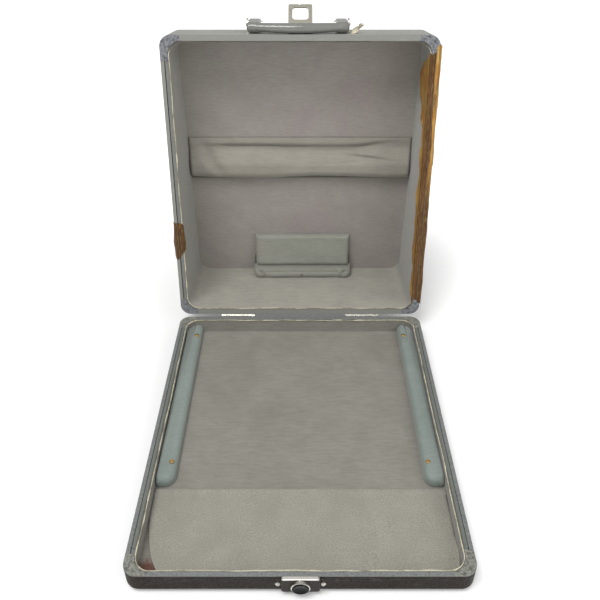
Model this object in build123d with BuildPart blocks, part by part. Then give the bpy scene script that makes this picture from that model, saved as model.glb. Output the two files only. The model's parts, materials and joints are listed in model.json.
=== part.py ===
"""Portable typewriter case: a shallow base tray and a deep wedge-shaped lid, hinged at the rear.

Millimetres. The case is drawn shut, with x to the right, y from the front face to the rear and z up
from the table. The lid's pieces are then swung open about the hinge pin until the lid's rear feet
stand on the table, and the whole case is moved so that the origin is under the middle of its box.
"""
import math
import os

from build123d import *

# ---------------------------------------------------------------- driving dimensions
case_w = 365.0            # outer width
case_d = 410.0            # outer depth, front face to rear face
glide_h = 2.0             # height of the glides under the base
base_h = 29.0             # base tray, underside to rim
parting_gap = 0.4         # gap between the two rims when shut
lid_rear_h = 154.0        # lid, rim to top at the rear face
top_rise = 75.0           # how much higher the lid's top is there than at the front face
lid_lean = 0.31           # degrees by which the opened lid's top leans forward of upright
corner_r = 15.0           # plan corners
edge_r = 7.0              # rounded bottom and top edges

cover_t = 1.0             # leathercloth covering, glued over all outside faces and rims
side_board_t = 3.7        # side boards of both halves
base_front_t = 4.0        # front board of the base
base_rear_t = 6.0         # rear board of the base
lid_front_t = 6.7         # front board of the lid
lid_rear_t = 7.0          # rear board of the lid
floor_t = 4.0             # base floor board
top_t = 4.0               # lid top board
lining_t = 0.8            # cloth lining on the walls and the base floor
ceiling_t = 1.2           # cloth-covered card on the lid's ceiling
collar_t = 5.3            # inner strip beside each side board
groove_w = 0.9            # groove between a side board and its inner strip
groove_depth = 3.0
tongue_raise = 0.8        # the base's inner strips stand this far above the rim
tongue_set_back = 0.8     # behind their own inner faces
tongue_end = 30.0         # and stop this far from the front and rear faces
tongue_root = 1.0
lid_recess = 1.8          # the lid's inner strips and lining stop this far inside its rim
inner_corner_r = 18.0     # corners of the lined space
bead_r = 0.9              # cream edging round the lining, from its middle to its flats
bead_sides = 8
bead_above = 0.2          # it stands this far above the base's rim
bead_inside = 0.5         # and this far inside the lid's
fit_gap = 0.3             # clearance round soft pieces
past = 5.0                # how far a cutting solid runs past what it cuts

pad_t = 3.0               # felt pad at the front of the base floor
pad_back = 117.0          # its rear edge, from the front face
pad_corner_r = 24.0
pad_hem_r = 2.4
rail_front = 121.0        # padded side rails that hold the machine sideways
rail_w = 22.5
rail_h = 14.5
rail_roll_r = 7.5
rail_corner_r = 12.0
rail_screw_in = 6.0       # from a rail's inner face
rail_screw_from_end = 26.0
screw_head_r = 2.8
screw_head_h = 1.7
screw_head_bevel = 0.8
screw_slot_w = 0.7
screw_shank_r = 1.4
rail_screw_len = 7.0
lock_screw_len = 5.0
hinge_screw_len = 6.5
screw_clear = 0.05

bolster_low_s = 186.0     # padded bolster across the lid's ceiling, from the rear face
bolster_high_s = 251.0
bolster_t = 17.0
bolster_thin_t = 5.0
bolster_fullest = 9.0     # its thickest line, in front of its lower edge
bolster_bulge = 3.0       # how far it bulges past its lower edge
rear_pad_w = 160.0        # padded block where the ceiling meets the rear wall
rear_pad_x = 4.0
rear_pad_s = 79.0
rear_pad_t = 13.0
rear_pad_deep_t = 40.0    # how far its lower roll reaches down the rear wall
rear_pad_roll_t = 12.0    # thickness of the roll
rear_pad_fold_s = 15.0    # fold above the roll, in front of its rear edge
rear_pad_fold_t = 21.0
rear_pad_round = 4.5

hinge_in = 87.5           # hinge centres, from the case's sides
hinge_len = 50.0
hinge_leaf_t = 1.2
hinge_leaf_h = 20.0
hinge_leaf_corner = 2.0
hinge_barrel_r = 2.4
hinge_running = 0.1       # between a knuckle and the other half's rear face
hinge_pin_r = 1.2
hinge_knuckles = 5
knuckle_gap = 0.25
knuckle_root_h = 5.0      # strap that joins a knuckle to its leaf
hinge_pin_head_r = 1.7
hinge_pin_head_t = 0.6
pin_clear = 0.06
hinge_screw_x = 17.0
hinge_screw_in = 13.0

glide_r = 6.5
glide_taper = 25.0        # degrees
glide_in = 32.5           # glide centres, from the sides
glide_end = 45.0          # and from the front and rear faces
foot_r = 9.0              # rubber feet on the rear faces, as tall as the open lid needs
foot_dome_r = 14.0
foot_in = 42.5            # foot centres, from the sides
foot_from_top = 10.0      # below the lid's top at its rear face
foot_base_z = 16.0

lock_x = 0.5
lock_z = 19.5
lock_w = 40.0
lock_top_z = 30.6
lock_low_z = 8.0
lock_depth = 3.8
lock_wall = 1.0
lock_corner = 3.0
lock_edge = 1.0
lock_ear_w = 6.5
lock_ear_h = 12.0
lock_ear_t = 1.0
collar_neck_r = 9.6
collar_flare_r = 10.0
collar_flange_r = 10.0
collar_flange_gap = 1.2   # between the flange and the inside of the cup's face
collar_front = 7.2        # in front of the case's face
collar_flare_l = 1.6      # from the front of the collar
collar_lip_l = 1.0
collar_bevel = 0.4
button_r = 8.9
button_clear = 0.06
button_proud = 0.8        # in front of the collar
button_edge = 0.9
button_dish_r = 36.0      # the finger's hollow in its face
button_dish_deep = 0.8
button_travel = 2.5
button_over_travel = 0.8
button_stem_r = 3.0
button_stem_in = 1.0      # how far the stem stands in its hole

hasp_w = 32.0
hasp_t = 1.5
hasp_h = 18.5             # hinge height above the lid's rim
hasp_off = 3.4            # and in front of its face
hasp_barrel_r = 2.6
hasp_pin_r = 1.2
hasp_window_clear = 0.7   # the square window round the collar
hasp_window_corner = 4.5
hasp_corner = 2.5
hasp_tip_strip = 5.5
hasp_notch = 1.6
hasp_notch_x = -1.2
hasp_clear = 0.3          # between the shut plate and the lock
hasp_rest_angle = 138.0   # opened from flat on the lock
hasp_plate_h = 15.0
hasp_knuckle_w = 14.0
hasp_pin_head_r = 1.8
hasp_pin_head_t = 0.7
hasp_rivet_x = 9.5
hasp_rivet_drop = 4.5     # rivets, below the plate's upper edge

handle_x = -2.6
grip_half_len = 58.0      # arm centres either side of the middle
arm_w = 17.0
arm_end_r = 6.7           # round end of an arm, where the bar joins it
pivot_h = 48.0            # handle pivot above the lid's rim
pivot_off = 10.0          # and in front of its face
pivot_pin_r = 2.0
pivot_clear = 0.06
eye_r = 6.4
grip_mid_h = 7.8
grip_mid_off = 7.2
grip_end_h = 14.0
grip_end_off = 8.0
grip_mid_w = 15.0
grip_mid_t = 13.0
grip_end_w = 13.0
grip_end_t = 11.0
grip_taper_share = 0.3    # how much of the way to its ends' size the bar is at its quarters
arm_bevel = 2.2
pin_head_r = 3.4
pin_head_t = 1.2
pin_head_bevel = 0.5
pin_end_play = 0.25
bracket_t = 2.0
bracket_ear_r = 7.0
bracket_base_t = 1.4
bracket_base_h = 22.0
bracket_base_corner = 1.5
bracket_gap = 0.5
bracket_rivet_in = 4.5    # rivets, from the base plate's upper and lower edges
rivet_r = 2.6
rivet_h = 1.3
rivet_bevel = 0.7

tape_t = 0.3              # repair tape over the lid's side rims
tape_outside = 20.0
tape_inside = 9.0
tape_right_s = (18.0, 396.0)
tape_left_s = (89.0, 149.0)

# ---------------------------------------------------------------- worked-out sizes
floor_z = glide_h + cover_t                     # underside of the floor board
base_rim_z = glide_h + base_h
lid_rim_z = base_rim_z + parting_gap
board_in = cover_t + side_board_t               # side boards' inner faces, from outside
wall_in = board_in + collar_t                   # inner strips' inner faces, from outside
lined_half_w = case_w / 2 - wall_in - lining_t  # half the lined width
base_front_in = cover_t + base_front_t
base_rear_in = cover_t + base_rear_t
lid_front_in = cover_t + lid_front_t
lid_rear_in = cover_t + lid_rear_t
lid_front_h = lid_rear_h - top_rise             # lid, rim to top at the front face
slope = top_rise / case_d                       # rise of the lid's top per mm of depth
open_angle = 90 + math.degrees(math.atan(slope)) - lid_lean
floor_top = floor_z + floor_t + lining_t        # lined floor of the base

hinge_axis = Axis((0, case_d + hinge_barrel_r + hinge_running, base_rim_z + parting_gap / 2), (1, 0, 0))
hinge_y = hinge_axis.position.Y
hinge_z = hinge_axis.position.Z
hasp_axis = Axis((0, -hasp_off, lid_rim_z + hasp_h), (1, 0, 0))
pivot_y = -pivot_off
pivot_z = lid_rim_z + pivot_h
hinge_x = case_w / 2 - hinge_in
glide_x = case_w / 2 - glide_in
foot_x = case_w / 2 - foot_in
foot_lid_h = lid_rear_h - foot_from_top


def foot_height():
    """How far the rear feet stand out, so that the open lid's feet just touch the table with their domes."""
    turn = math.radians(open_angle)
    above = foot_lid_h + parting_gap / 2
    behind = (foot_dome_r - hinge_z - above * math.cos(turn)) / math.sin(turn)
    return foot_dome_r + hinge_y - case_d - behind


foot_h = foot_height()


def lid_top_z(y, drop=0.0):
    """Height of the lid's sloping top at depth y, drop below its outer face."""
    return lid_rim_z + lid_front_h + slope * y - drop


# ---------------------------------------------------------------- shared forms
def base_block(side, front, rear, low, high, corner, edge=0.0):
    """A rounded tray blank, inset from the case's outside, between two heights."""
    depth = case_d - front - rear
    with BuildPart() as block:
        with BuildSketch(Plane.XY.offset(low)):
            with Locations((0, front + depth / 2)):
                RectangleRounded(case_w - 2 * side, depth, corner)
        extrude(amount=high - low)
        if edge > 0:
            fillet(block.faces().sort_by(Axis.Z)[0].edges(), edge)
    return block.part


def lid_block(side, front, rear, drop, start, corner, edge=0.0):
    """A rounded wedge blank, inset from the lid's outside, its top lowered by drop."""
    near, far, low = front, case_d - rear, lid_rim_z + start
    with BuildPart() as block:
        with BuildSketch(Plane.YZ.offset(side - case_w / 2)):
            with BuildLine():
                Polyline(
                    (near, low),
                    (far, low),
                    (far, lid_top_z(far, drop)),
                    (near, lid_top_z(near, drop)),
                    close=True,
                )
            make_face()
        extrude(amount=case_w - 2 * side)
        fillet(block.edges().filter_by(Axis.Z), corner)
        if edge > 0:
            fillet(block.faces().sort_by(Axis.Z)[-1].edges(), edge)
    return block.part


def under_top(drop, start=-past):
    """A wedge blank that reaches into the lid's covering all round, used for its lowered top."""
    within = cover_t / 2
    return lid_block(within, within, within, drop, start, within)


def slab(x0, x1, y0, y1, z0=-case_d, z1=case_d):
    """A box between two corners, used to cut one board out of a shell."""
    with BuildPart() as box:
        with BuildSketch(Plane.XY.offset(z0)):
            with Locations(((x0 + x1) / 2, (y0 + y1) / 2)):
                Rectangle(x1 - x0, y1 - y0)
        extrude(amount=z1 - z0)
    return box.part


def piece_of(shell, region):
    """The part of a shell inside a region."""
    with BuildPart() as piece:
        add(shell)
        add(region, mode=Mode.INTERSECT)
    return piece.part


def shell_of(outside, *insides):
    """A solid with other solids taken out of it."""
    with BuildPart() as shell:
        add(outside)
        for inside in insides:
            add(inside, mode=Mode.SUBTRACT)
    return shell.part


def bead_ring(inset, front, rear, height):
    """Edging along the top of a lining, flat where it lies on the lining and against the strips."""
    depth = case_d - front - rear
    with BuildSketch(Plane.XY.offset(height)) as outline:
        with Locations((0, front + depth / 2)):
            RectangleRounded(case_w - 2 * inset, depth, inner_corner_r + lining_t - bead_r)
    path = outline.sketch.wire()
    with BuildPart() as ring:
        with BuildSketch(Plane(origin=path @ 0, z_dir=path % 0)):
            RegularPolygon(bead_r, bead_sides, major_radius=False, rotation=180 / bead_sides)
        sweep(path=path, transition=Transition.ROUND)
    return ring.part


def round_screw(plane, length):
    """A pan-head slotted screw, its head seated on the plane and its shank behind it."""
    with BuildPart() as screw:
        with BuildSketch(plane):
            Circle(screw_head_r)
        extrude(amount=screw_head_h)
        chamfer(screw.faces().sort_by(Axis((0, 0, 0), plane.z_dir))[-1].edges(), screw_head_bevel)
        with BuildSketch(plane):
            Circle(screw_shank_r)
        extrude(amount=-length)
        with BuildSketch(plane.offset(screw_head_h)):
            Rectangle(2 * screw_head_r + screw_slot_w, screw_slot_w)
        extrude(amount=-screw_slot_w, mode=Mode.SUBTRACT)
    return screw.part


def shank_holes(planes, length):
    """Clearance holes for the shanks of screws seated on the planes."""
    with BuildPart() as holes:
        for plane in planes:
            with BuildSketch(plane):
                Circle(screw_shank_r + screw_clear)
            extrude(amount=-length - fit_gap)
    return holes.part


def rivet_head(plane):
    """A rivet head seated on the plane."""
    with BuildPart() as rivet:
        with BuildSketch(plane):
            Circle(rivet_r)
        extrude(amount=rivet_h)
        chamfer(rivet.faces().sort_by(Axis((0, 0, 0), plane.z_dir))[-1].edges(), rivet_bevel)
    return rivet.part


def joined(solids):
    """Several separate solids kept in one node."""
    with BuildPart() as group:
        for solid in solids:
            add(solid)
    return group.part


# ---------------------------------------------------------------- base: boards, strips and covering
inner_x = case_w / 2 - board_in
base_outer = base_block(0, 0, 0, glide_h, base_rim_z, corner_r, edge_r)
base_core = base_block(
    cover_t, cover_t, cover_t, floor_z, base_rim_z - cover_t, corner_r - cover_t, edge_r - cover_t
)
base_space = slab(-inner_x, inner_x, base_front_in, case_d - base_rear_in, floor_z + floor_t)
base_shell = shell_of(base_core, base_space)

base_side_left = piece_of(base_shell, slab(-case_w, -inner_x, -past, case_d + past))
base_side_right = piece_of(base_shell, slab(inner_x, case_w, -past, case_d + past))
base_front_board = piece_of(base_shell, slab(-inner_x, inner_x, -past, base_front_in))
base_rear_board = piece_of(base_shell, slab(-inner_x, inner_x, case_d - base_rear_in, case_d + past))
base_floor_board = piece_of(base_shell, slab(-inner_x, inner_x, base_front_in, case_d - base_rear_in))
base_covering = shell_of(base_outer, base_core, base_space)

# The lined space is rounded at its corners, and the inner strips fill them out to the boards.
base_lined_out = base_block(
    wall_in, base_front_in, base_rear_in, floor_z + floor_t, base_rim_z + past, inner_corner_r + lining_t
)
base_lined_in = base_block(
    wall_in + lining_t, base_front_in + lining_t, base_rear_in + lining_t, floor_top, base_rim_z + 2 * past,
    inner_corner_r,
)
strip_inner_x = case_w / 2 - wall_in - inner_corner_r - lining_t


def base_strip(side):
    """Inner strip along one side of the base, with a groove outside it and a raised tongue."""
    edge = side * inner_x
    ends = sorted((edge, side * strip_inner_x))
    with BuildPart() as strip:
        add(slab(ends[0], ends[1], base_front_in, case_d - base_rear_in, floor_z + floor_t, base_rim_z))
        tongue = sorted((edge - side * groove_w, side * (case_w / 2 - wall_in + tongue_set_back)))
        low, high = base_rim_z - tongue_root, base_rim_z + tongue_raise
        add(slab(tongue[0], tongue[1], tongue_end, case_d - tongue_end, low, high))
        groove = sorted((edge, edge - side * groove_w))
        add(
            slab(groove[0], groove[1], base_front_in, case_d - base_rear_in, base_rim_z - groove_depth),
            mode=Mode.SUBTRACT,
        )
        add(base_lined_out, mode=Mode.SUBTRACT)
    return strip.part


base_strip_left = base_strip(-1)
base_strip_right = base_strip(1)

lining_top_z = base_rim_z + bead_above - 2 * bead_r
base_wall_lining = piece_of(
    shell_of(base_lined_out, base_lined_in),
    slab(-case_w, case_w, -past, case_d + past, floor_top, lining_top_z),
)
base_floor_lining = piece_of(
    base_lined_out, slab(-case_w, case_w, -past, case_d + past, floor_z + floor_t, floor_top)
)
base_edging = bead_ring(
    wall_in + bead_r, base_front_in + bead_r, base_rear_in + bead_r, lining_top_z + bead_r
)


# ---------------------------------------------------------------- base: pad, rails and what they stand on
def floor_pad_piece():
    """Felt pad at the front of the floor, its rear edge turned into a round hem."""
    width = 2 * (lined_half_w - fit_gap)
    front = base_front_in + lining_t + fit_gap
    depth = pad_back - front
    with BuildPart() as pad:
        with BuildSketch(Plane.XY.offset(floor_top)):
            with Locations((0, front + depth / 2)):
                Rectangle(width, depth)
        extrude(amount=pad_t)
        fillet(pad.edges().filter_by(Axis.Z).group_by(Axis.Y)[0], pad_corner_r)
        with BuildSketch(Plane.YZ.offset(-width / 2)):
            with Locations((pad_back - pad_hem_r, floor_top + pad_hem_r)):
                Circle(pad_hem_r)
        extrude(amount=width)
    return pad.part


floor_pad = floor_pad_piece()
rail_top_z = floor_top + rail_h
rail_inner_x = lined_half_w - fit_gap - rail_w
rail_back = case_d - base_rear_in - lining_t - fit_gap


def rail_screw_planes(side):
    """Where the round-head screws sit on one side rail."""
    x = side * (rail_inner_x + rail_screw_in)
    places = (rail_front + rail_screw_from_end, rail_back - rail_screw_from_end)
    return [Plane(origin=(x, y, rail_top_z)) for y in places]


def side_rail(side):
    """Padded rail on one side of the floor, with a rolled front edge and a rounded inner corner."""
    outer_x = lined_half_w - fit_gap
    corners = inner_corner_r - fit_gap
    ends = sorted((side * rail_inner_x, side * outer_x))
    with BuildPart() as rail:
        add(slab(ends[0], ends[1], rail_front, rail_back, floor_top, rail_top_z))
        upright = rail.edges().filter_by(Axis.Z)
        inner = upright.sort_by(Axis.X)[:2] if side > 0 else upright.sort_by(Axis.X)[2:]
        outer = upright.sort_by(Axis.X)[2:] if side > 0 else upright.sort_by(Axis.X)[:2]
        fillet(inner.sort_by(Axis.Y)[0], rail_corner_r)
        fillet(outer.sort_by(Axis.Y)[-1], corners)
        rolled = rail.faces().sort_by(Axis.Z)[-1].edges()
        front_edges = rolled.filter_by(lambda e: (e @ 0.5).Y < rail_front + rail_corner_r)
        side_edge = rolled.filter_by(Axis.Y).sort_by(Axis.X)
        fillet(front_edges + [side_edge[0] if side > 0 else side_edge[-1]], rail_roll_r)
        add(shank_holes(rail_screw_planes(side), rail_screw_len), mode=Mode.SUBTRACT)
    return rail.part


rail_left = side_rail(-1)
rail_right = side_rail(1)
rail_screws = joined(
    [round_screw(plane, rail_screw_len) for side in (-1, 1) for plane in rail_screw_planes(side)]
)


def glide(x, y):
    """A flat-bottomed metal glide under the base."""
    with BuildPart() as stud:
        with BuildSketch(Plane.XY.offset(glide_h)):
            with Locations((x, y)):
                Circle(glide_r)
        extrude(amount=-glide_h, taper=glide_taper)
    return stud.part


glides = {
    f"glide_{end}_{side}": glide(gx, gy)
    for end, gy in (("front", glide_end), ("rear", case_d - glide_end))
    for side, gx in (("left", -glide_x), ("right", glide_x))
}


def rubber_foot(x, z):
    """A domed rubber foot on a rear face, standing out along +Y."""
    edge_h = foot_h - foot_dome_r + math.sqrt(foot_dome_r**2 - foot_r**2)
    half_way = math.asin(foot_r / foot_dome_r) / 2
    with BuildPart() as foot:
        with BuildSketch(Plane.YZ.offset(x)):
            with BuildLine():
                Polyline((case_d, z), (case_d, z + foot_r), (case_d + edge_h, z + foot_r))
                ThreePointArc(
                    (case_d + edge_h, z + foot_r),
                    (
                        case_d + foot_h - foot_dome_r + foot_dome_r * math.cos(half_way),
                        z + foot_dome_r * math.sin(half_way),
                    ),
                    (case_d + foot_h, z),
                )
                Line((case_d + foot_h, z), (case_d, z))
            make_face()
        revolve(axis=Axis((x, 0, z), (0, 1, 0)))
    return foot.part


base_feet = joined([rubber_foot(side * foot_x, foot_base_z) for side in (-1, 1)])
lid_feet = joined([rubber_foot(side * foot_x, lid_rim_z + foot_lid_h) for side in (-1, 1)])


# ---------------------------------------------------------------- hinges
def knuckle_span(index):
    """Start and end of one hinge knuckle along the barrel, from the hinge's middle."""
    pitch = hinge_len / hinge_knuckles
    start = -hinge_len / 2 + index * pitch
    return start + knuckle_gap / 2, start + pitch - knuckle_gap / 2


def hinge_screw_planes(centre_x, up):
    """Screw places on one leaf; up is 1 on the lid's leaf and -1 on the base's."""
    z = hinge_z + up * hinge_screw_in
    return [
        Plane(origin=(centre_x + x, case_d + hinge_leaf_t, z), x_dir=(1, 0, 0), z_dir=(0, 1, 0))
        for x in (-hinge_screw_x, 0, hinge_screw_x)
    ]


def hinge_leaf(centre_x, up):
    """A leaf on a rear face with its share of the knuckles; outer knuckles belong to the base."""
    own = [i for i in range(hinge_knuckles) if (i % 2 == 0) == (up < 0)]
    leaf_z = hinge_z + up * (parting_gap / 2 + hinge_leaf_h / 2 + fit_gap)
    with BuildPart() as leaf:
        with BuildSketch(Plane.XZ.offset(-case_d)):
            with Locations((centre_x, leaf_z)):
                RectangleRounded(hinge_len, hinge_leaf_h, hinge_leaf_corner)
        extrude(amount=-hinge_leaf_t)
        for index in own:
            start, end = knuckle_span(index)
            with BuildSketch(Plane.YZ.offset(centre_x + start)):
                with Locations((hinge_y, hinge_z)):
                    Circle(hinge_barrel_r)
                with Locations((case_d + hinge_leaf_t / 2, hinge_z + up * knuckle_root_h / 2)):
                    Rectangle(hinge_leaf_t, knuckle_root_h)
            extrude(amount=end - start)
        with BuildSketch(Plane.YZ.offset(centre_x - hinge_len)):
            with Locations((hinge_y, hinge_z)):
                Circle(hinge_pin_r + pin_clear)
        extrude(amount=2 * hinge_len, mode=Mode.SUBTRACT)
        for index in set(range(hinge_knuckles)) - set(own):
            start, end = knuckle_span(index)
            with BuildSketch(Plane.YZ.offset(centre_x + start - knuckle_gap)):
                with Locations((hinge_y, hinge_z)):
                    Circle(hinge_barrel_r + knuckle_gap)
            extrude(amount=end - start + 2 * knuckle_gap, mode=Mode.SUBTRACT)
        add(shank_holes(hinge_screw_planes(centre_x, up), hinge_screw_len), mode=Mode.SUBTRACT)
    return leaf.part


def hinge_pin(centre_x):
    """The pin of one hinge, with a small head at each end."""
    with BuildPart() as pin:
        with BuildSketch(Plane.YZ.offset(centre_x - hinge_len / 2)):
            with Locations((hinge_y, hinge_z)):
                Circle(hinge_pin_r)
        extrude(amount=hinge_len)
        for end in (-hinge_len / 2 - hinge_pin_head_t, hinge_len / 2):
            with BuildSketch(Plane.YZ.offset(centre_x + end)):
                with Locations((hinge_y, hinge_z)):
                    Circle(hinge_pin_head_r)
            extrude(amount=hinge_pin_head_t)
    return pin.part


hinge_base_leaves = joined([hinge_leaf(side * hinge_x, -1) for side in (-1, 1)])
hinge_lid_leaves = joined([hinge_leaf(side * hinge_x, 1) for side in (-1, 1)])
hinge_pins = joined([hinge_pin(side * hinge_x) for side in (-1, 1)])
base_hinge_planes = [plane for side in (-1, 1) for plane in hinge_screw_planes(side * hinge_x, -1)]
lid_hinge_planes = [plane for side in (-1, 1) for plane in hinge_screw_planes(side * hinge_x, 1)]
hinge_base_screws = joined([round_screw(plane, hinge_screw_len) for plane in base_hinge_planes])
hinge_lid_screws = joined([round_screw(plane, hinge_screw_len) for plane in lid_hinge_planes])


# ---------------------------------------------------------------- push-button lock on the base's front
def facing_front(x, z, off=0.0):
    """A plane on the front face, off in front of it, looking forwards."""
    return Plane(origin=(x, -off, z), x_dir=(1, 0, 0), z_dir=(0, -1, 0))


lock_screw_planes = [
    facing_front(lock_x + side * (lock_w / 2 + lock_ear_w / 2), lock_z, lock_ear_t) for side in (-1, 1)
]


def lock_case_piece():
    """Drawn-steel cup with an ear at each side, bored for the collar."""
    height = lock_top_z - lock_low_z
    middle_z = (lock_top_z + lock_low_z) / 2
    with BuildPart() as cup:
        with BuildSketch(facing_front(lock_x, middle_z)):
            RectangleRounded(lock_w, height, lock_corner)
        extrude(amount=lock_depth)
        fillet(cup.faces().sort_by(Axis.Y)[0].edges(), lock_edge)
        with BuildSketch(facing_front(lock_x, middle_z)):
            RectangleRounded(lock_w - 2 * lock_wall, height - 2 * lock_wall, lock_corner - lock_wall)
        extrude(amount=lock_depth - lock_wall, mode=Mode.SUBTRACT)
        with BuildSketch(facing_front(lock_x, lock_z)):
            SlotOverall(lock_w + 2 * lock_ear_w, lock_ear_h)
            Rectangle(lock_w - 2 * lock_wall, height, mode=Mode.SUBTRACT)
        extrude(amount=lock_ear_t)
        with BuildSketch(facing_front(lock_x, lock_z)):
            Circle(collar_neck_r + button_clear)
        extrude(amount=lock_depth + past, mode=Mode.SUBTRACT)
        add(shank_holes(lock_screw_planes, lock_screw_len), mode=Mode.SUBTRACT)
    return cup.part


def lock_collar_piece():
    """Flared collar round the button, turned from one bar and flanged inside the cup."""
    bore = button_r + button_clear
    profile = (
        (bore, 0),
        (collar_flange_r, 0),
        (collar_flange_r, lock_depth - collar_flange_gap),
        (collar_neck_r, lock_depth - collar_flange_gap),
        (collar_neck_r, collar_front - collar_flare_l),
        (collar_flare_r, collar_front - collar_lip_l),
        (collar_flare_r, collar_front - collar_bevel),
        (collar_flare_r - collar_bevel, collar_front),
        (bore, collar_front),
    )
    with BuildPart() as collar:
        with BuildSketch(Plane.XY.offset(lock_z)):
            with BuildLine():
                Polyline(*((lock_x + radius, -off) for radius, off in profile), close=True)
            make_face()
        revolve(axis=Axis((lock_x, 0, lock_z), (0, 1, 0)))
    return collar.part


def lock_button_piece():
    """Push button: a slightly dished head on a stem that enters the front board."""
    front = collar_front + button_proud
    back = button_travel + button_over_travel
    with BuildPart() as button:
        with BuildSketch(facing_front(lock_x, lock_z, back)):
            Circle(button_r)
        extrude(amount=front - back)
        fillet(button.faces().sort_by(Axis.Y)[0].edges(), button_edge)
        with Locations((lock_x, -front + button_dish_deep - button_dish_r, lock_z)):
            Sphere(button_dish_r, mode=Mode.SUBTRACT)
        with BuildSketch(facing_front(lock_x, lock_z, -button_stem_in)):
            Circle(button_stem_r)
        extrude(amount=back + button_stem_in)
    return button.part


lock_case = lock_case_piece()
lock_collar = lock_collar_piece()
lock_button = lock_button_piece()
lock_screws = joined([round_screw(plane, lock_screw_len) for plane in lock_screw_planes])


def stem_hole():
    """Blind hole in the front board for the button's stem."""
    with BuildPart() as hole:
        with BuildSketch(facing_front(lock_x, lock_z, cover_t)):
            Circle(button_stem_r + button_clear)
        extrude(amount=-cover_t - button_stem_in - button_travel - fit_gap)
    return hole.part


# Holes that the lock and hinges need in the base's boards and covering.
front_holes = [shank_holes(lock_screw_planes, lock_screw_len), stem_hole()]
base_hinge_holes = shank_holes(base_hinge_planes, hinge_screw_len)
base_front_board = shell_of(base_front_board, *front_holes)
base_rear_board = shell_of(base_rear_board, base_hinge_holes)
base_covering = shell_of(base_covering, base_hinge_holes, *front_holes)


# ---------------------------------------------------------------- lid: boards, strips, covering and lining
lid_outer = lid_block(0, 0, 0, 0, 0, corner_r, edge_r)
lid_core = lid_block(cover_t, cover_t, cover_t, cover_t, cover_t, corner_r - cover_t, edge_r - cover_t)
lid_space = piece_of(
    under_top(cover_t + top_t), slab(-inner_x, inner_x, lid_front_in, case_d - lid_rear_in)
)
lid_shell = shell_of(lid_core, lid_space)

lid_side_left = piece_of(lid_shell, slab(-case_w, -inner_x, -past, case_d + past))
lid_side_right = piece_of(lid_shell, slab(inner_x, case_w, -past, case_d + past))
lid_front_board = piece_of(lid_shell, slab(-inner_x, inner_x, -past, lid_front_in))
lid_rear_board = piece_of(lid_shell, slab(-inner_x, inner_x, case_d - lid_rear_in, case_d + past))
lid_top_board = piece_of(lid_shell, slab(-inner_x, inner_x, lid_front_in, case_d - lid_rear_in))
lid_hinge_holes = shank_holes(lid_hinge_planes, hinge_screw_len)
lid_rear_board = shell_of(lid_rear_board, lid_hinge_holes)
lid_covering = shell_of(lid_outer, lid_core, lid_space, lid_hinge_holes)

lid_lined_out = lid_block(
    wall_in, lid_front_in, lid_rear_in, cover_t + top_t, lid_recess, inner_corner_r + lining_t
)
lid_lined_in = lid_block(
    wall_in + lining_t, lid_front_in + lining_t, lid_rear_in + lining_t, cover_t + top_t, -past,
    inner_corner_r,
)
under_ceiling = under_top(cover_t + top_t + ceiling_t)


def lid_strip(side):
    """Inner strip beside one side board of the lid, from the recess up to the top board."""
    edge = side * inner_x
    ends = sorted((edge, side * strip_inner_x))
    with BuildPart() as strip:
        add(
            piece_of(
                under_top(cover_t + top_t, lid_recess),
                slab(ends[0], ends[1], lid_front_in, case_d - lid_rear_in),
            )
        )
        groove = sorted((edge, edge - side * groove_w))
        low = lid_rim_z + lid_recess
        add(
            slab(groove[0], groove[1], lid_front_in, case_d - lid_rear_in, low - past, low + groove_depth),
            mode=Mode.SUBTRACT,
        )
        lined = lid_block(wall_in, lid_front_in, lid_rear_in, 0, -past, inner_corner_r + lining_t)
        add(lined, mode=Mode.SUBTRACT)
    return strip.part


lid_strip_left = lid_strip(-1)
lid_strip_right = lid_strip(1)
lid_ceiling = shell_of(lid_lined_out, under_ceiling)
lid_bead_z = lid_rim_z + bead_inside + bead_r
lid_wall_lining = piece_of(
    shell_of(piece_of(lid_lined_out, under_ceiling), lid_lined_in),
    slab(-case_w, case_w, -past, case_d + past, lid_bead_z + bead_r),
)
lid_edging = bead_ring(wall_in + bead_r, lid_front_in + bead_r, lid_rear_in + bead_r, lid_bead_z)


def ceiling_point(s, depth):
    """(y, z) of a point s in front of the rear face and depth below the lined ceiling."""
    y = case_d - s
    return y, lid_top_z(y, cover_t + top_t + ceiling_t + depth)


def bolster_piece():
    """Padded bolster across the ceiling, thick and rounded at its lower edge."""
    width = 2 * (lined_half_w - fit_gap)
    fullest_s = bolster_low_s + bolster_fullest
    middle_s = (fullest_s + bolster_high_s) / 2
    middle_t = (bolster_t + bolster_thin_t) / 2
    with BuildPart() as bolster:
        with BuildSketch(Plane.YZ.offset(-width / 2)):
            with BuildLine():
                Line(ceiling_point(bolster_high_s, fit_gap), ceiling_point(bolster_low_s, fit_gap))
                ThreePointArc(
                    ceiling_point(bolster_low_s, fit_gap),
                    ceiling_point(bolster_low_s - bolster_bulge, bolster_t / 2),
                    ceiling_point(fullest_s, bolster_t),
                )
                Spline(
                    ceiling_point(fullest_s, bolster_t),
                    ceiling_point(middle_s, middle_t),
                    ceiling_point(bolster_high_s, bolster_thin_t),
                )
                Line(ceiling_point(bolster_high_s, bolster_thin_t), ceiling_point(bolster_high_s, fit_gap))
            make_face()
        extrude(amount=width)
    return bolster.part


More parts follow.
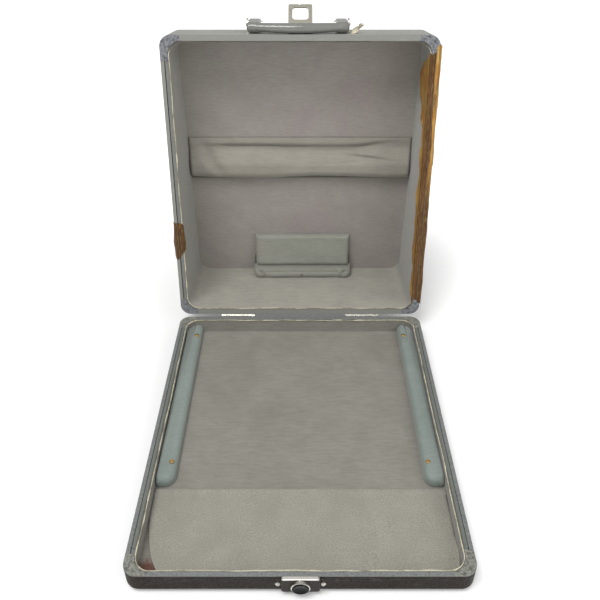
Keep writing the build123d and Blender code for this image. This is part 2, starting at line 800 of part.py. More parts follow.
def rear_pad_piece():
    """Padded block where the ceiling meets the rear wall, with a roll that runs down the wall."""
    wall_s = lid_rear_in + lining_t + fit_gap
    with BuildPart() as pad:
        with BuildSketch(Plane.YZ.offset(rear_pad_x - rear_pad_w / 2)):
            with BuildLine():
                Polyline(
                    ceiling_point(rear_pad_s, fit_gap), ceiling_point(wall_s, fit_gap),
                    ceiling_point(wall_s, rear_pad_deep_t),
                    ceiling_point(wall_s + rear_pad_roll_t, rear_pad_deep_t),
                    ceiling_point(wall_s + rear_pad_fold_s, rear_pad_fold_t),
                    ceiling_point(rear_pad_s, rear_pad_t), close=True,
                )
            make_face()
        extrude(amount=rear_pad_w)
        fillet(pad.edges().filter_by(Axis.X).sort_by(Axis.Z)[:3], rear_pad_round)
    return pad.part


bolster = bolster_piece()
rear_pad = rear_pad_piece()


# ---------------------------------------------------------------- repair tape over the lid's side rims
def repair_tape(side, span):
    """Thin tape bent over a side rim: down the outside, across the rim, into the recess and up the lining."""
    rear, front = case_d - span[0], case_d - span[1]
    corner = inner_corner_r + lining_t + fit_gap
    inside = (max(front, lid_front_in + corner), min(rear, case_d - lid_rear_in - corner))
    outer, low = case_w / 2, lid_rim_z
    recess_z = low + lid_recess
    bead_low = lid_bead_z - bead_r
    lining_x = lined_half_w
    strip_x = case_w / 2 - wall_in
    runs = [
        (outer, outer + tape_t, low - tape_t, low + tape_outside, front, rear),
        (inner_x - tape_t, outer, low - tape_t, low, front, rear),
        (inner_x - tape_t, inner_x, low - tape_t, recess_z, front, rear),
        (strip_x + tape_t, inner_x, recess_z - tape_t, recess_z, front, rear),
        (strip_x, strip_x + tape_t, bead_low - tape_t, recess_z, *inside),
        (strip_x - 2 * bead_r - tape_t, strip_x + tape_t, bead_low - tape_t, bead_low, *inside),
        (strip_x - 2 * bead_r - tape_t, strip_x - 2 * bead_r, bead_low - tape_t, low + tape_inside, *inside),
    ]
    with BuildPart() as tape:
        for x0, x1, z0, z1, y0, y1 in runs:
            ends = sorted((side * x0, side * x1))
            add(slab(ends[0], ends[1], y0, y1, z0, z1))
    return tape.part


repair_tape_right = repair_tape(1, tape_right_s)
repair_tape_left = repair_tape(-1, tape_left_s)


# ---------------------------------------------------------------- carrying handle on the lid's front
def lid_front(x, h, off=0.0):
    """A plane on the lid's front face at height h above its rim, off in front of it, looking forwards."""
    return facing_front(x, lid_rim_z + h, off)


def grip_section(x, h, off, width, thick):
    """An oval cross-section of the grip bar, h above the lid's rim and off in front of its face."""
    with BuildSketch(Plane.YZ.offset(x)) as section:
        with Locations((-off, lid_rim_z + h)):
            Ellipse(thick / 2, width / 2)
    return section.sketch


def grip_piece():
    """Moulded grip: a bowed oval bar, thickest in the middle, on two bevelled arms bored for their pivots."""
    middle = (grip_mid_h, grip_mid_off, grip_mid_w, grip_mid_t)
    end = (grip_end_h, grip_end_off, grip_end_w, grip_end_t)
    quarter = [a + grip_taper_share * (b - a) for a, b in zip(middle, end)]
    with BuildPart() as grip:
        for centre in (handle_x - grip_half_len, handle_x + grip_half_len):
            with BuildSketch(Plane.YZ.offset(centre - arm_w / 2)):
                with Locations((pivot_y, pivot_z)):
                    Circle(eye_r)
                with Locations((-grip_end_off, lid_rim_z + grip_end_h)):
                    Circle(arm_end_r)
                make_hull()
            extrude(amount=arm_w)
        chamfer(grip.faces().filter_by(Axis.X).edges(), arm_bevel)
        for share, section in ((-1, end), (-0.5, quarter), (0, middle), (0.5, quarter), (1, end)):
            add(grip_section(handle_x + share * grip_half_len, *section))
        loft()
        with BuildSketch(Plane.YZ.offset(handle_x - 2 * grip_half_len)):
            with Locations((pivot_y, pivot_z)):
                Circle(pivot_pin_r + pivot_clear)
        extrude(amount=4 * grip_half_len, mode=Mode.SUBTRACT)
    return grip.part


def bracket_rivet_planes(side):
    """Where the two rivets sit on one bracket's base plate."""
    x = handle_x + side * grip_half_len
    spread = bracket_base_h / 2 - bracket_rivet_in
    return [lid_front(x, pivot_h + up, bracket_base_t) for up in (-spread, spread)]


def handle_bracket(side):
    """A base plate under one arm with an ear outside it that carries the pivot pin."""
    inner = handle_x + side * (grip_half_len - arm_w / 2 + bracket_gap)
    ear_in = handle_x + side * (grip_half_len + arm_w / 2 + bracket_gap)
    ear_out = ear_in + side * bracket_t
    with BuildPart() as bracket:
        with BuildSketch(lid_front((inner + ear_out) / 2, pivot_h)):
            RectangleRounded(abs(ear_out - inner), bracket_base_h, bracket_base_corner)
        extrude(amount=bracket_base_t)
        with BuildSketch(Plane.YZ.offset(min(ear_in, ear_out))):
            with Locations((pivot_y, pivot_z)):
                Circle(bracket_ear_r)
            with Locations((-bracket_base_t / 2, pivot_z)):
                Rectangle(bracket_base_t, bracket_base_h - 2 * bracket_base_corner)
            make_hull()
            with Locations((pivot_y, pivot_z)):
                Circle(pivot_pin_r + pivot_clear, mode=Mode.SUBTRACT)
        extrude(amount=bracket_t)
    return bracket.part


def handle_pin(side):
    """Pivot pin of one arm, headed outside the bracket's ear and inside the arm."""
    inner = handle_x + side * (grip_half_len - arm_w / 2 - bracket_gap)
    outer = handle_x + side * (grip_half_len + arm_w / 2 + bracket_gap + bracket_t + pin_end_play)
    shank = sorted((inner, outer))
    with BuildPart() as pin:
        with BuildSketch(Plane.YZ.offset(shank[0])):
            with Locations((pivot_y, pivot_z)):
                Circle(pivot_pin_r)
        extrude(amount=shank[1] - shank[0])
        for start, length in ((shank[0], -pin_head_t), (shank[1], pin_head_t)):
            with BuildSketch(Plane.YZ.offset(start)):
                with Locations((pivot_y, pivot_z)):
                    Circle(pin_head_r)
            extrude(amount=length)
        chamfer(pin.faces().sort_by(Axis.X)[0].edges(), pin_head_bevel)
        chamfer(pin.faces().sort_by(Axis.X)[-1].edges(), pin_head_bevel)
    return pin.part


handle_grip = grip_piece()
handle_brackets = joined([handle_bracket(side) for side in (-1, 1)])
handle_pins = joined([handle_pin(side) for side in (-1, 1)])
bracket_rivets = joined([rivet_head(plane) for side in (-1, 1) for plane in bracket_rivet_planes(side)])


# ---------------------------------------------------------------- hasp on the lid's front
hasp_x = lock_x
hasp_y = hasp_axis.position.Y
hasp_z = hasp_axis.position.Z
hasp_back = lock_depth + hasp_clear             # the shut plate's back, in front of the case's face
hasp_window = 2 * (collar_flare_r + hasp_window_clear)
hasp_tip_z = lock_z - hasp_window / 2 - hasp_tip_strip
hasp_side_w = (hasp_w - hasp_knuckle_w) / 2 - knuckle_gap


def barrel(x0, length, radius):
    """A cylinder along the hasp's hinge axis."""
    with BuildPart() as cylinder:
        with BuildSketch(Plane.YZ.offset(x0)):
            with Locations((hasp_y, hasp_z)):
                Circle(radius)
        extrude(amount=length)
    return cylinder.part


def hasp_base_piece():
    """Riveted plate on the lid with the two outer knuckles."""
    with BuildPart() as base:
        with BuildSketch(lid_front(hasp_x, hasp_h + hasp_plate_h / 2)):
            RectangleRounded(hasp_w, hasp_plate_h + 2 * hasp_barrel_r, hasp_corner)
        extrude(amount=hasp_t)
        add(barrel(hasp_x - hasp_knuckle_w / 2 - knuckle_gap, hasp_knuckle_w + 2 * knuckle_gap,
                   hasp_barrel_r + knuckle_gap), mode=Mode.SUBTRACT)
        for start in (-hasp_w / 2, hasp_w / 2 - hasp_side_w):
            add(barrel(hasp_x + start, hasp_side_w, hasp_barrel_r))
        add(barrel(hasp_x - hasp_w, 2 * hasp_w, hasp_pin_r + pin_clear), mode=Mode.SUBTRACT)
    return base.part


def hasp_plate_piece():
    """Swinging plate, drawn shut: a middle knuckle, a window round the button and a notched tip."""
    top_z = hasp_z - hasp_barrel_r - 2 * knuckle_gap
    with BuildPart() as plate:
        with BuildSketch(facing_front(hasp_x, 0, hasp_back)) as outline:
            with Locations((0, (top_z + hasp_tip_z) / 2)):
                Rectangle(hasp_w, top_z - hasp_tip_z)
            fillet(outline.vertices(), hasp_corner)
            with Locations((0, lock_z)):
                RectangleRounded(hasp_window, hasp_window, hasp_window_corner, mode=Mode.SUBTRACT)
            with Locations((hasp_notch_x, hasp_tip_z)):
                RegularPolygon(hasp_notch, 4, mode=Mode.SUBTRACT)
            with Locations((0, (top_z + hasp_z) / 2)):
                Rectangle(hasp_knuckle_w, hasp_z - top_z + hasp_pin_r)
        extrude(amount=hasp_t)
        add(barrel(hasp_x - hasp_knuckle_w / 2, hasp_knuckle_w, hasp_barrel_r))
        add(barrel(hasp_x - hasp_w, 2 * hasp_w, hasp_pin_r + pin_clear), mode=Mode.SUBTRACT)
    return plate.part


def hasp_pin_piece():
    """Hinge pin of the hasp, with a small head at each end."""
    with BuildPart() as pin:
        reach = hasp_w / 2 + pin_end_play
        add(barrel(hasp_x - reach, 2 * reach, hasp_pin_r))
        add(barrel(hasp_x - reach - hasp_pin_head_t, hasp_pin_head_t, hasp_pin_head_r))
        add(barrel(hasp_x + reach, hasp_pin_head_t, hasp_pin_head_r))
    return pin.part


hasp_base = hasp_base_piece()
hasp_plate = hasp_plate_piece().rotate(hasp_axis, -hasp_rest_angle)
hasp_pin = hasp_pin_piece()
hasp_rivets = joined(
    [
        rivet_head(lid_front(hasp_x + x, hasp_h + hasp_plate_h - hasp_rivet_drop, hasp_t))
        for x in (-hasp_rivet_x, hasp_rivet_x)
    ]
)

# ---------------------------------------------------------------- the case as it stands, and its files
base_pieces = {
    "base_side_left": base_side_left,
    "base_side_right": base_side_right,
    "base_front_board": base_front_board,
    "base_rear_board": base_rear_board,
    "base_floor_board": base_floor_board,
    "base_covering": base_covering,
    "base_strip_left": base_strip_left,
    "base_strip_right": base_strip_right,
    "base_wall_lining": base_wall_lining,
    "base_floor_lining": base_floor_lining,
    "base_edging": base_edging,
    "floor_pad": floor_pad,
    "rail_left": rail_left,
    "rail_right": rail_right,
    "rail_screws": rail_screws,
    **glides,
    "base_feet": base_feet,
    "hinge_base_leaves": hinge_base_leaves,
    "hinge_pins": hinge_pins,
    "hinge_base_screws": hinge_base_screws,
    "lock_case": lock_case,
    "lock_collar": lock_collar,
    "lock_button": lock_button,
    "lock_screws": lock_screws,
}
lid_pieces = {
    "lid_side_left": lid_side_left,
    "lid_side_right": lid_side_right,
    "lid_front_board": lid_front_board,
    "lid_rear_board": lid_rear_board,
    "lid_top_board": lid_top_board,
    "lid_covering": lid_covering,
    "lid_strip_left": lid_strip_left,
    "lid_strip_right": lid_strip_right,
    "lid_ceiling": lid_ceiling,
    "lid_wall_lining": lid_wall_lining,
    "lid_edging": lid_edging,
    "lid_bolster": bolster,
    "lid_rear_pad": rear_pad,
    "lid_feet": lid_feet,
    "hinge_lid_leaves": hinge_lid_leaves,
    "hinge_lid_screws": hinge_lid_screws,
    "repair_tape_right": repair_tape_right,
    "repair_tape_left": repair_tape_left,
    "handle_brackets": handle_brackets,
    "bracket_rivets": bracket_rivets,
    "handle_pins": handle_pins,
    "handle_grip": handle_grip,
    "hasp_base": hasp_base,
    "hasp_rivets": hasp_rivets,
    "hasp_pin": hasp_pin,
    "hasp_plate": hasp_plate,
}
standing = dict(base_pieces)
for name, piece in lid_pieces.items():
    standing[name] = piece.rotate(hinge_axis, -open_angle)

boxes = [piece.bounding_box() for piece in standing.values()]
near = min(box.min.Y for box in boxes)
far = max(box.max.Y for box in boxes)
to_origin = Location((0, -(near + far) / 2, 0))


def write(piece, name):
    """Label one piece, move it to the case's origin and write it to its file."""
    placed = piece.moved(to_origin)
    placed.label = name
    export_step(placed, f"parts/{name}.step")


os.makedirs("parts", exist_ok=True)
for name, piece in standing.items():
    write(piece, name)

middle_y = (near + far) / 2
print(f"opens {open_angle:.3f} deg, hinge y {hinge_y - middle_y:.4f} z {hinge_z:.4f}, middle {middle_y:.4f}")
for name, y, z in (("handle", pivot_y, pivot_z), ("hasp", hasp_y, hasp_z)):
    turn = math.radians(open_angle)
    open_y = hinge_y + (y - hinge_y) * math.cos(turn) + (z - hinge_z) * math.sin(turn)
    open_z = hinge_z - (y - hinge_y) * math.sin(turn) + (z - hinge_z) * math.cos(turn)
    print(f"{name} axis y {open_y - middle_y:.4f} z {open_z:.4f}")
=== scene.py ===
"""Visual model of an old portable typewriter case, standing open.

Lengths are in millimetres, in the shut case's own coordinates (x right, y back from the front face, z up),
until CaseFrame places a mesh in the row frame, in metres. s is the distance in front of the rear face.
"""

import json
import logging
import math
from dataclasses import dataclass
from enum import Enum
from typing import Any, Protocol

import bmesh
import bpy
import numpy as np
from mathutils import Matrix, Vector


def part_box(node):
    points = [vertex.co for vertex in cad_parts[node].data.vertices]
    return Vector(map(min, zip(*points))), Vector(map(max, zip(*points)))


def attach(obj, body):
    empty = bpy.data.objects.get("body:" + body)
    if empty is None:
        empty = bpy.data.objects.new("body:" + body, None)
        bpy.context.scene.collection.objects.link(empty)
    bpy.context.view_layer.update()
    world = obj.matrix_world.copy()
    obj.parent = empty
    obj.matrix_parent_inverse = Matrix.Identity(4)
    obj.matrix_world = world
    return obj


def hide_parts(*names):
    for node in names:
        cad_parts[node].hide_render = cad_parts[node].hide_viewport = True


log = logging.getLogger("case")
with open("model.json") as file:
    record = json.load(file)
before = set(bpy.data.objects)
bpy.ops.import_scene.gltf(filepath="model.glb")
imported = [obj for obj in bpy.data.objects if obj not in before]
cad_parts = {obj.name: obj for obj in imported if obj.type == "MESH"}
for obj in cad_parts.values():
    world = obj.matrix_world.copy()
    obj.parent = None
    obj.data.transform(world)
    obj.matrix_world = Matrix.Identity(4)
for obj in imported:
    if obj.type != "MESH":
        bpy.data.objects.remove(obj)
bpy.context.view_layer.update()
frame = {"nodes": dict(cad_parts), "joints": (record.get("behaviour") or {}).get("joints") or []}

Array = np.ndarray
Material = bpy.types.Material
Piece = bpy.types.Object
Socket = bpy.types.NodeSocket
MM = 0.001


# ------------------------------------------------------------------------------------ coordinates
@dataclass(frozen=True)
class CaseFrame:
    """Turns the shut case's coordinates to the row frame.

    Attributes:
        middle_y: y of the row frame's origin, mm.
        hinge_y: y of the hinge pins' axis, mm.
        hinge_z: z of the hinge pins' axis, mm.
        turn: how far the lid stands open, radians.
    """

    middle_y: float
    hinge_y: float
    hinge_z: float
    turn: float

    def place(self, points: Array, in_lid: bool) -> Array:
        """Turns lid points about the hinge axis by the open angle, then moves all by the row frame's origin.

        Args:
            points: (..., 3) array, mm.
            in_lid: whether they belong to the lid.

        Returns:
            The same shape in the row frame, metres.
        """
        out = np.array(points, float)
        if in_lid:
            dy, dz = out[..., 1] - self.hinge_y, out[..., 2] - self.hinge_z
            out[..., 1] = self.hinge_y + dy * math.cos(self.turn) + dz * math.sin(self.turn)
            out[..., 2] = self.hinge_z - dy * math.sin(self.turn) + dz * math.cos(self.turn)
        out[..., 1] -= self.middle_y
        return out * MM


def case_frame() -> CaseFrame:
    """The case's frame, read from the lid hinge's joint and the base covering's box."""
    hinge = next(joint for joint in frame["joints"] if joint["name"] == "lid_hinge")
    middle_y = -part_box("base_covering")[0].y / MM
    return CaseFrame(middle_y, hinge["pos_m"][1] / MM + middle_y, hinge["pos_m"][2] / MM,
                     math.radians(hinge["range_deg"][1]))


CASE = case_frame()
CASE_W, CASE_D = 365.0, 410.0
BASE_RIM, LID_RIM = 31.0, 31.4
FLOOR_TOP = 7.8
LINED_X = 171.7
SLOPE = 75.0 / CASE_D
LINED_FRONT_H = 72.8
LOCK_TOP, LOCK_MIDDLE = 30.6, 19.5
PAPER_T, SKIN_T, WEBBING_T = 0.14, 0.06, 0.5
SIDES = {-1: "left", 1: "right"}


def ceiling_z(y: Array) -> Array:
    """Height of the lid's lined ceiling at depth y: the height at the front plus the slope times y."""
    return LID_RIM + LINED_FRONT_H + SLOPE * y


# ------------------------------------------------------------------------------------ small maths
def bump(x: Array, centre: float | Array, width: float) -> Array:
    """A smooth hill of height 1: e to the minus square of the distance from centre over width."""
    return np.exp(-(((x - centre) / width) ** 2))


def step(x: Array, start: float, end: float) -> Array:
    """A smooth step from 0 at start to 1 at end: 3t squared less 2t cubed, t held between 0 and 1."""
    t = np.clip((x - start) / (end - start), 0.0, 1.0)
    return t * t * (3.0 - 2.0 * t)


def point(x: Array, y: Array | float = 0.0, z: Array | float = 0.0) -> Array:
    """Joins three coordinates of any matching shapes into one (..., 3) array."""
    return np.stack(np.broadcast_arrays(x, y, z), -1).astype(float)


def ripple(points: Array, seed: int, size: float, octaves: int = 3) -> Array:
    """Smooth random field: a sum of sines along random directions, halved in height as they get finer.

    Args:
        points: (..., 3) array, mm.
        seed: picks the directions and phases.
        size: longest wavelength, mm.
        octaves: how many halvings of the wavelength.

    Returns:
        Values of about -1 to 1, one per point.
    """
    random = np.random.default_rng(seed)
    total = np.zeros(points.shape[:-1])
    weight = 0.0
    for octave in range(octaves):
        height = 0.5**octave
        for _ in range(4):
            way = random.normal(size=3)
            way /= np.linalg.norm(way)
            phase = random.uniform(0, 2 * math.pi)
            total += height * np.sin(points @ way * (2 * math.pi * 2**octave / size) + phase)
        weight += height * 2.0
    return total / weight


def walked(line: Array) -> Array:
    """How far along a line each of its points is: the running sum of the steps' lengths."""
    return np.concatenate([[0.0], np.cumsum(np.linalg.norm(np.diff(line, axis=0), axis=1))])


def along(line: Array, places: Array) -> Array:
    """Points of a line, joined by straight runs, at given distances along it.

    Args:
        line: (n, 2) array, mm.
        places: distances, mm.

    Returns:
        Array of the places' shape, with a last axis of 2.
    """
    far = walked(line)
    return np.stack([np.interp(places, far, line[:, axis]) for axis in (0, 1)], -1)


def arc(cx: float, cy: float, radius: float, start: float, count: int) -> Array:
    """A quarter circle of count points round a centre, anticlockwise from start degrees."""
    turn = np.radians(start + np.linspace(0, 90, count))
    return np.stack([cx + radius * np.cos(turn), cy + radius * np.sin(turn)], -1)


def even_loop(parts: list[Array], spacing: float = 0.0, count: int = 0) -> Array:
    """Closes a loop through the parts and steps it evenly, by the spacing in mm or into count points."""
    line = np.concatenate([*parts, parts[0][:1]])
    length = walked(line)[-1]
    return along(line, np.linspace(0, length, count or int(length / spacing), endpoint=False))


# ------------------------------------------------------------------------------------ meshes
def grid_faces(rows: int, columns: int, wrap_rows: bool = False, wrap_columns: bool = False) -> Array:
    """Quads of a grid of points stored row by row, joined end to start where it wraps.

    Args:
        rows: points along the first parameter.
        columns: points along the second parameter.
        wrap_rows: whether the last row joins the first.
        wrap_columns: whether the last column joins the first.

    Returns:
        (m, 4) array of vertex numbers.
    """
    i = np.arange(rows if wrap_rows else rows - 1)
    j = np.arange(columns if wrap_columns else columns - 1)
    i, j = (a.ravel() for a in np.meshgrid(i, j, indexing="ij"))
    up, right = (i + 1) % rows, (j + 1) % columns
    return np.stack([i * columns + j, up * columns + j, up * columns + right, i * columns + right], -1)


def mesh_object(name: str, vertices: Array, faces: list[list[int]], smooth: bool = True) -> Piece:
    """Puts vertices, in metres in the row frame, and faces in a new object at the origin."""
    mesh = bpy.data.meshes.new(name)
    mesh.from_pydata(vertices.reshape(-1, 3).tolist(), [], faces)
    mesh.polygons.foreach_set("use_smooth", np.full(len(mesh.polygons), smooth))
    mesh.update()
    made = bpy.data.objects.new(name, mesh)
    bpy.context.scene.collection.objects.link(made)
    return made


def tube(name: str, sections: Array, in_lid: bool, ring: bool = False) -> Piece:
    """A closed skin through a row of closed sections, with a fan of triangles over each end of an open row.

    Args:
        name: the piece's name.
        sections: (rings, around, 3) array, mm.
        in_lid: whether it belongs to the lid.
        ring: whether the last section joins the first.

    Returns:
        The object, its faces turned outwards.
    """
    rings, around = sections.shape[:2]
    rows = CASE.place(sections, in_lid)
    vertices = rows.reshape(-1, 3)
    faces = grid_faces(rings, around, ring, True).tolist()
    if not ring:
        j = np.arange(around)
        k, end, hub = (j + 1) % around, (rings - 1) * around, len(vertices)
        fans = [(np.full(around, hub), j, k), (np.full(around, hub + 1), end + k, end + j)]
        faces += np.stack([np.stack(fan, -1) for fan in fans], 1).reshape(-1, 3).tolist()
        vertices = np.concatenate([vertices, [rows[0].mean(0)], [rows[-1].mean(0)]])
    made = mesh_object(name, vertices, faces)
    work = bmesh.new()
    work.from_mesh(made.data)
    bmesh.ops.recalc_face_normals(work, faces=work.faces)
    work.to_mesh(made.data)
    work.free()
    return made


def thin(name: str, points: Array, in_lid: bool, thickness: float) -> Piece:
    """A sheet over a (rows, columns, 3) grid of points, thickened by so many mm to both sides of the grid."""
    made = mesh_object(name, CASE.place(points, in_lid), grid_faces(*points.shape[:2]).tolist())
    wall = made.modifiers.new("thickness", "SOLIDIFY")
    wall.thickness = thickness * MM
    wall.offset = 0.0
    return made


def write_map(piece: Piece, name: str, u: Array, v: Array | float = 0.0) -> None:
    """Writes a UV map from one u and v per vertex; vertices past the end of them get zeros."""
    mesh = piece.data
    pairs = np.stack(np.broadcast_arrays(u, v), -1).reshape(-1, 2)
    whole = np.zeros((len(mesh.vertices), 2), np.float32)
    whole[: len(pairs)] = pairs
    corners = np.empty(len(mesh.loops), np.int32)
    mesh.loops.foreach_get("vertex_index", corners)
    mesh.uv_layers.new(name=name).data.foreach_set("uv", whole[corners].ravel())


# ------------------------------------------------------------------------------------ material kit
def linear(hex_code: str) -> tuple[float, ...]:
    """An sRGB hex colour as linear RGBA: each channel over 12.92 below 0.04045, else the 2.4 power curve."""
    channels = [int(hex_code[i : i + 2], 16) / 255 for i in (1, 3, 5)]
    return (*(c / 12.92 if c <= 0.04045 else ((c + 0.055) / 1.055) ** 2.4 for c in channels), 1.0)


class Graph:
    """The node tree of one material or world, with a way to add a node and wire it in one call."""

    def __init__(self, name: str, world: bool = False) -> None:
        """Makes an empty material or world with an output.

        Args:
            name: its name.
            world: whether it is a world.
        """
        self.made = (bpy.data.worlds if world else bpy.data.materials).new(name)
        self.made.use_nodes = True
        self.tree = self.made.node_tree
        self.tree.nodes.clear()
        self.output = self.add("OutputWorld" if world else "OutputMaterial")

    def add(self, kind: str, inputs: dict[Any, Any] | None = None, **settings: Any) -> bpy.types.Node:
        """Adds a node, sets its properties and fills or links its inputs.

        Args:
            kind: the node's type name, without the leading ShaderNode.
            inputs: input name or number to a value or another node's output socket.
            **settings: properties of the node.

        Returns:
            The node.
        """
        node = self.tree.nodes.new("ShaderNode" + kind)
        for key, value in settings.items():
            setattr(node, key, value)
        for key, value in (inputs or {}).items():
            if isinstance(value, Socket):
                self.tree.links.new(value, node.inputs[key])
            else:
                node.inputs[key].default_value = value
        return node

    def close(self, shader: bpy.types.Node) -> Any:
        """Links a shader to the output, and returns the finished material or world."""
        self.tree.links.new(shader.outputs[0], self.output.inputs["Surface"])
        return self.made

    def surface(self, **sockets: Any) -> Material:
        """Closes the tree with a Principled shader; its inputs are named with underscores for spaces."""
        return self.close(self.add("BsdfPrincipled", {k.replace("_", " "): v for k, v in sockets.items()}))

    def math(self, operation: str, *values: Any, clamp: bool = False) -> Socket:
        """A maths node over values or sockets."""
        return self.add("Math", dict(enumerate(values)), operation=operation, use_clamp=clamp).outputs[0]

    def times(self, *values: Any) -> Socket:
        """The product of two or more values or sockets."""
        made = values[0]
        for value in values[1:]:
            made = self.math("MULTIPLY", made, value)
        return made

    def mix(self, factor: Any, first: Any, second: Any, blend: str = "MIX") -> Socket:
        """Mixes two hex colours or sockets; a factor of 0 keeps the first, 1 the second."""
        first, second = (linear(v) if isinstance(v, str) else v for v in (first, second))
        node = self.add("Mix", {0: factor, 6: first, 7: second}, data_type="RGBA", blend_type=blend)
        return node.outputs[2]

    def lay(self, colour: Any, mask: Any, amount: float, over: Any) -> Socket:
        """Lays a second colour over a first by a mask times an amount."""
        return self.mix(self.times(mask, amount), colour, over)

    def ramp(self, value: Socket, low: float, high: float) -> Socket:
        """A straight ramp of a value from 0 at low to 1 at high; low may be the larger."""
        node = self.add("ValToRGB", {"Fac": value})
        for element, (place, grey) in zip(node.color_ramp.elements, sorted([(low, 0.0), (high, 1.0)])):
            element.position = place
            element.color = (grey, grey, grey, 1.0)
        return node.outputs["Color"]

    def tint(self, colour: Any, value: Socket, low: float, high: float, amount: float, over: Any) -> Socket:
        """Lays a second colour over a first where a value ramps from low to high, by at most the amount."""
        return self.lay(colour, self.ramp(value, low, high), amount, over)

    def between(self, value: Socket, low: float, high: float) -> Socket:
        """A smooth step of a value from 0 at low to 1 at high; low may be the larger."""
        return self.add("MapRange", {"Value": value, "From Min": low, "From Max": high},
                        interpolation_type="SMOOTHSTEP").outputs[0]

    def shut(self, in_lid: bool) -> Socket:
        """Object coordinates turned back to the shut case's, mm, so that a pattern follows its own half."""
        turn = CASE.turn if in_lid else 0.0
        row_y = CASE.hinge_y - CASE.middle_y
        shift = (0.0, CASE.hinge_y - row_y * math.cos(turn) + CASE.hinge_z * math.sin(turn),
                 CASE.hinge_z - row_y * math.sin(turn) - CASE.hinge_z * math.cos(turn))
        return self.add("Mapping", {"Vector": self.add("TexCoord").outputs["Object"], "Scale": (1 / MM,) * 3,
                                    "Rotation": (turn, 0.0, 0.0), "Location": shift}).outputs[0]

    def axes(self, vector: Socket) -> tuple[Socket, ...]:
        """The x, y and z of a vector."""
        return tuple(self.add("SeparateXYZ", {0: vector}).outputs)

    def map(self, name: str) -> tuple[Socket, ...]:
        """The u, v and 0 of a UV map."""
        return self.axes(self.add("UVMap", uv_map=name).outputs[0])

    def noise(self, size: float, vector: Socket, detail: float = 3.0, rough: float = 0.55, warp: float = 0.0,
              drawn: tuple[float, float, float] | None = None) -> Socket:
        """Noise on a vector in mm.

        Args:
            size: width of its lumps, mm.
            vector: where it is taken.
            detail: octaves.
            rough: how strongly the fine octaves show.
            warp: distortion.
            drawn: a number for each axis; a small one draws the lumps out along it.

        Returns:
            Its height, 0 to 1.
        """
        if drawn is not None:
            vector = self.add("Mapping", {"Vector": vector, "Scale": drawn}).outputs[0]
        return self.add("TexNoise", {"Vector": vector, "Scale": 1.0 / size, "Detail": detail,
                                     "Roughness": rough, "Distortion": warp}).outputs[0]

    def raised(self, height: Socket, depth: float, strength: float, under: Socket | None = None) -> Socket:
        """A bump of a depth in mm from a height of 0 to 1, over another bump if given."""
        inputs: dict[Any, Any] = {"Height": height, "Distance": depth * MM, "Strength": strength}
        return self.add("Bump", inputs | ({} if under is None else {"Normal": under})).outputs[0]


# ------------------------------------------------------------------------------------ kinds of finish
@dataclass(frozen=True, kw_only=True)
class Look:
    """What every kind of finish has.

    Attributes:
        name: the material's name, after what it is made of.
        body: main colour.
        in_lid: whether its pattern follows the lid.
    """

    name: str
    body: str
    in_lid: bool = False

    def paint(self, g: Graph, where: Socket) -> Material:
        """Wires the graph into this kind of finish.

        Args:
            g: an empty graph.
            where: the shut case's coordinates, mm.

        Returns:
            The material.
        """
        raise NotImplementedError

    def material(self) -> Material:
        """The material, built the first time it is asked for."""
        if (made := bpy.data.materials.get(self.name)) is not None:
            return made
        g = Graph(self.name)
        return self.paint(g, g.shut(self.in_lid))


@dataclass(frozen=True, kw_only=True)
class Leathercloth(Look):
    """Vinyl-coated cotton, calendered with a pebble grain: dull, with a soft sheen on the pebbles' tops.

    Attributes:
        dull: colour where dirt has dulled it.
        worn: colour where it is rubbed.
        rim: colour on the case's rims, greyed by hands and dust.
        grime_and_shade: how much of the front face is darkened, by grime and by painted shade, 0 to 1.
        pits: how dark the grain's hollows are, 0 to 1.
        pebble: grain size, mm. The real one is about 0.8; it is drawn coarser so that it shows.
    """

    dull: str
    worn: str
    rim: str
    grime_and_shade: float = 0.0
    pits: float = 0.5
    pebble: float = 1.7

    def paint(self, g: Graph, where: Socket) -> Material:
        """Pebbles are the distance to cell centres, patches broad noise, and scuffs noise drawn out in x."""
        _, y, z = g.axes(where)
        warp = g.add("TexNoise", {"Vector": where, "Scale": 0.9, "Detail": 1.0}).outputs["Color"]
        bent = g.mix(0.6, where, warp, "LINEAR_LIGHT")
        cells = g.add("TexVoronoi", {"Vector": bent, "Scale": 1.0 / self.pebble}, feature="SMOOTH_F1")
        grain = g.ramp(cells.outputs["Distance"], 0.25, 0.75)
        patches = g.noise(60.0, where, 5.0)
        scuffs = g.noise(9.0, where, 5.0, 0.7, drawn=(0.25, 1.0, 1.0))
        specks = g.noise(2.2, where, 2.0)
        away, up = (1.2, LID_RIM) if self.in_lid else (-1.2, BASE_RIM)
        rims = g.between(z, up + away, up + away / 4)
        front = g.times(g.between(y, 45.0, 2.0), g.math("SUBTRACT", 1.0, rims))
        colour = g.tint(self.body, patches, 0.35, 0.7, 0.4, self.dull)
        # grime and painted shade: the front face, turned from the light, is laid with a near-black brown
        colour = g.lay(colour, front, self.grime_and_shade, "#1e150d")
        colour = g.lay(colour, rims, 0.85, self.rim)
        colour = g.tint(colour, scuffs, 0.56, 0.7, 0.22, self.worn)
        colour = g.tint(colour, specks, 0.62, 0.72, 0.2, self.worn)
        colour = g.lay(colour, grain, self.pits, self.dull)
        return g.surface(
            Base_Color=colour, IOR=1.46, Roughness=g.math("ADD", g.times(patches, 0.3), 0.38),
            Specular_IOR_Level=g.math("SUBTRACT", 0.5, g.times(front, 0.4 * self.grime_and_shade)),
            Normal=g.raised(patches, 0.6, 0.4, g.raised(grain, 0.18, 0.6)),
        )


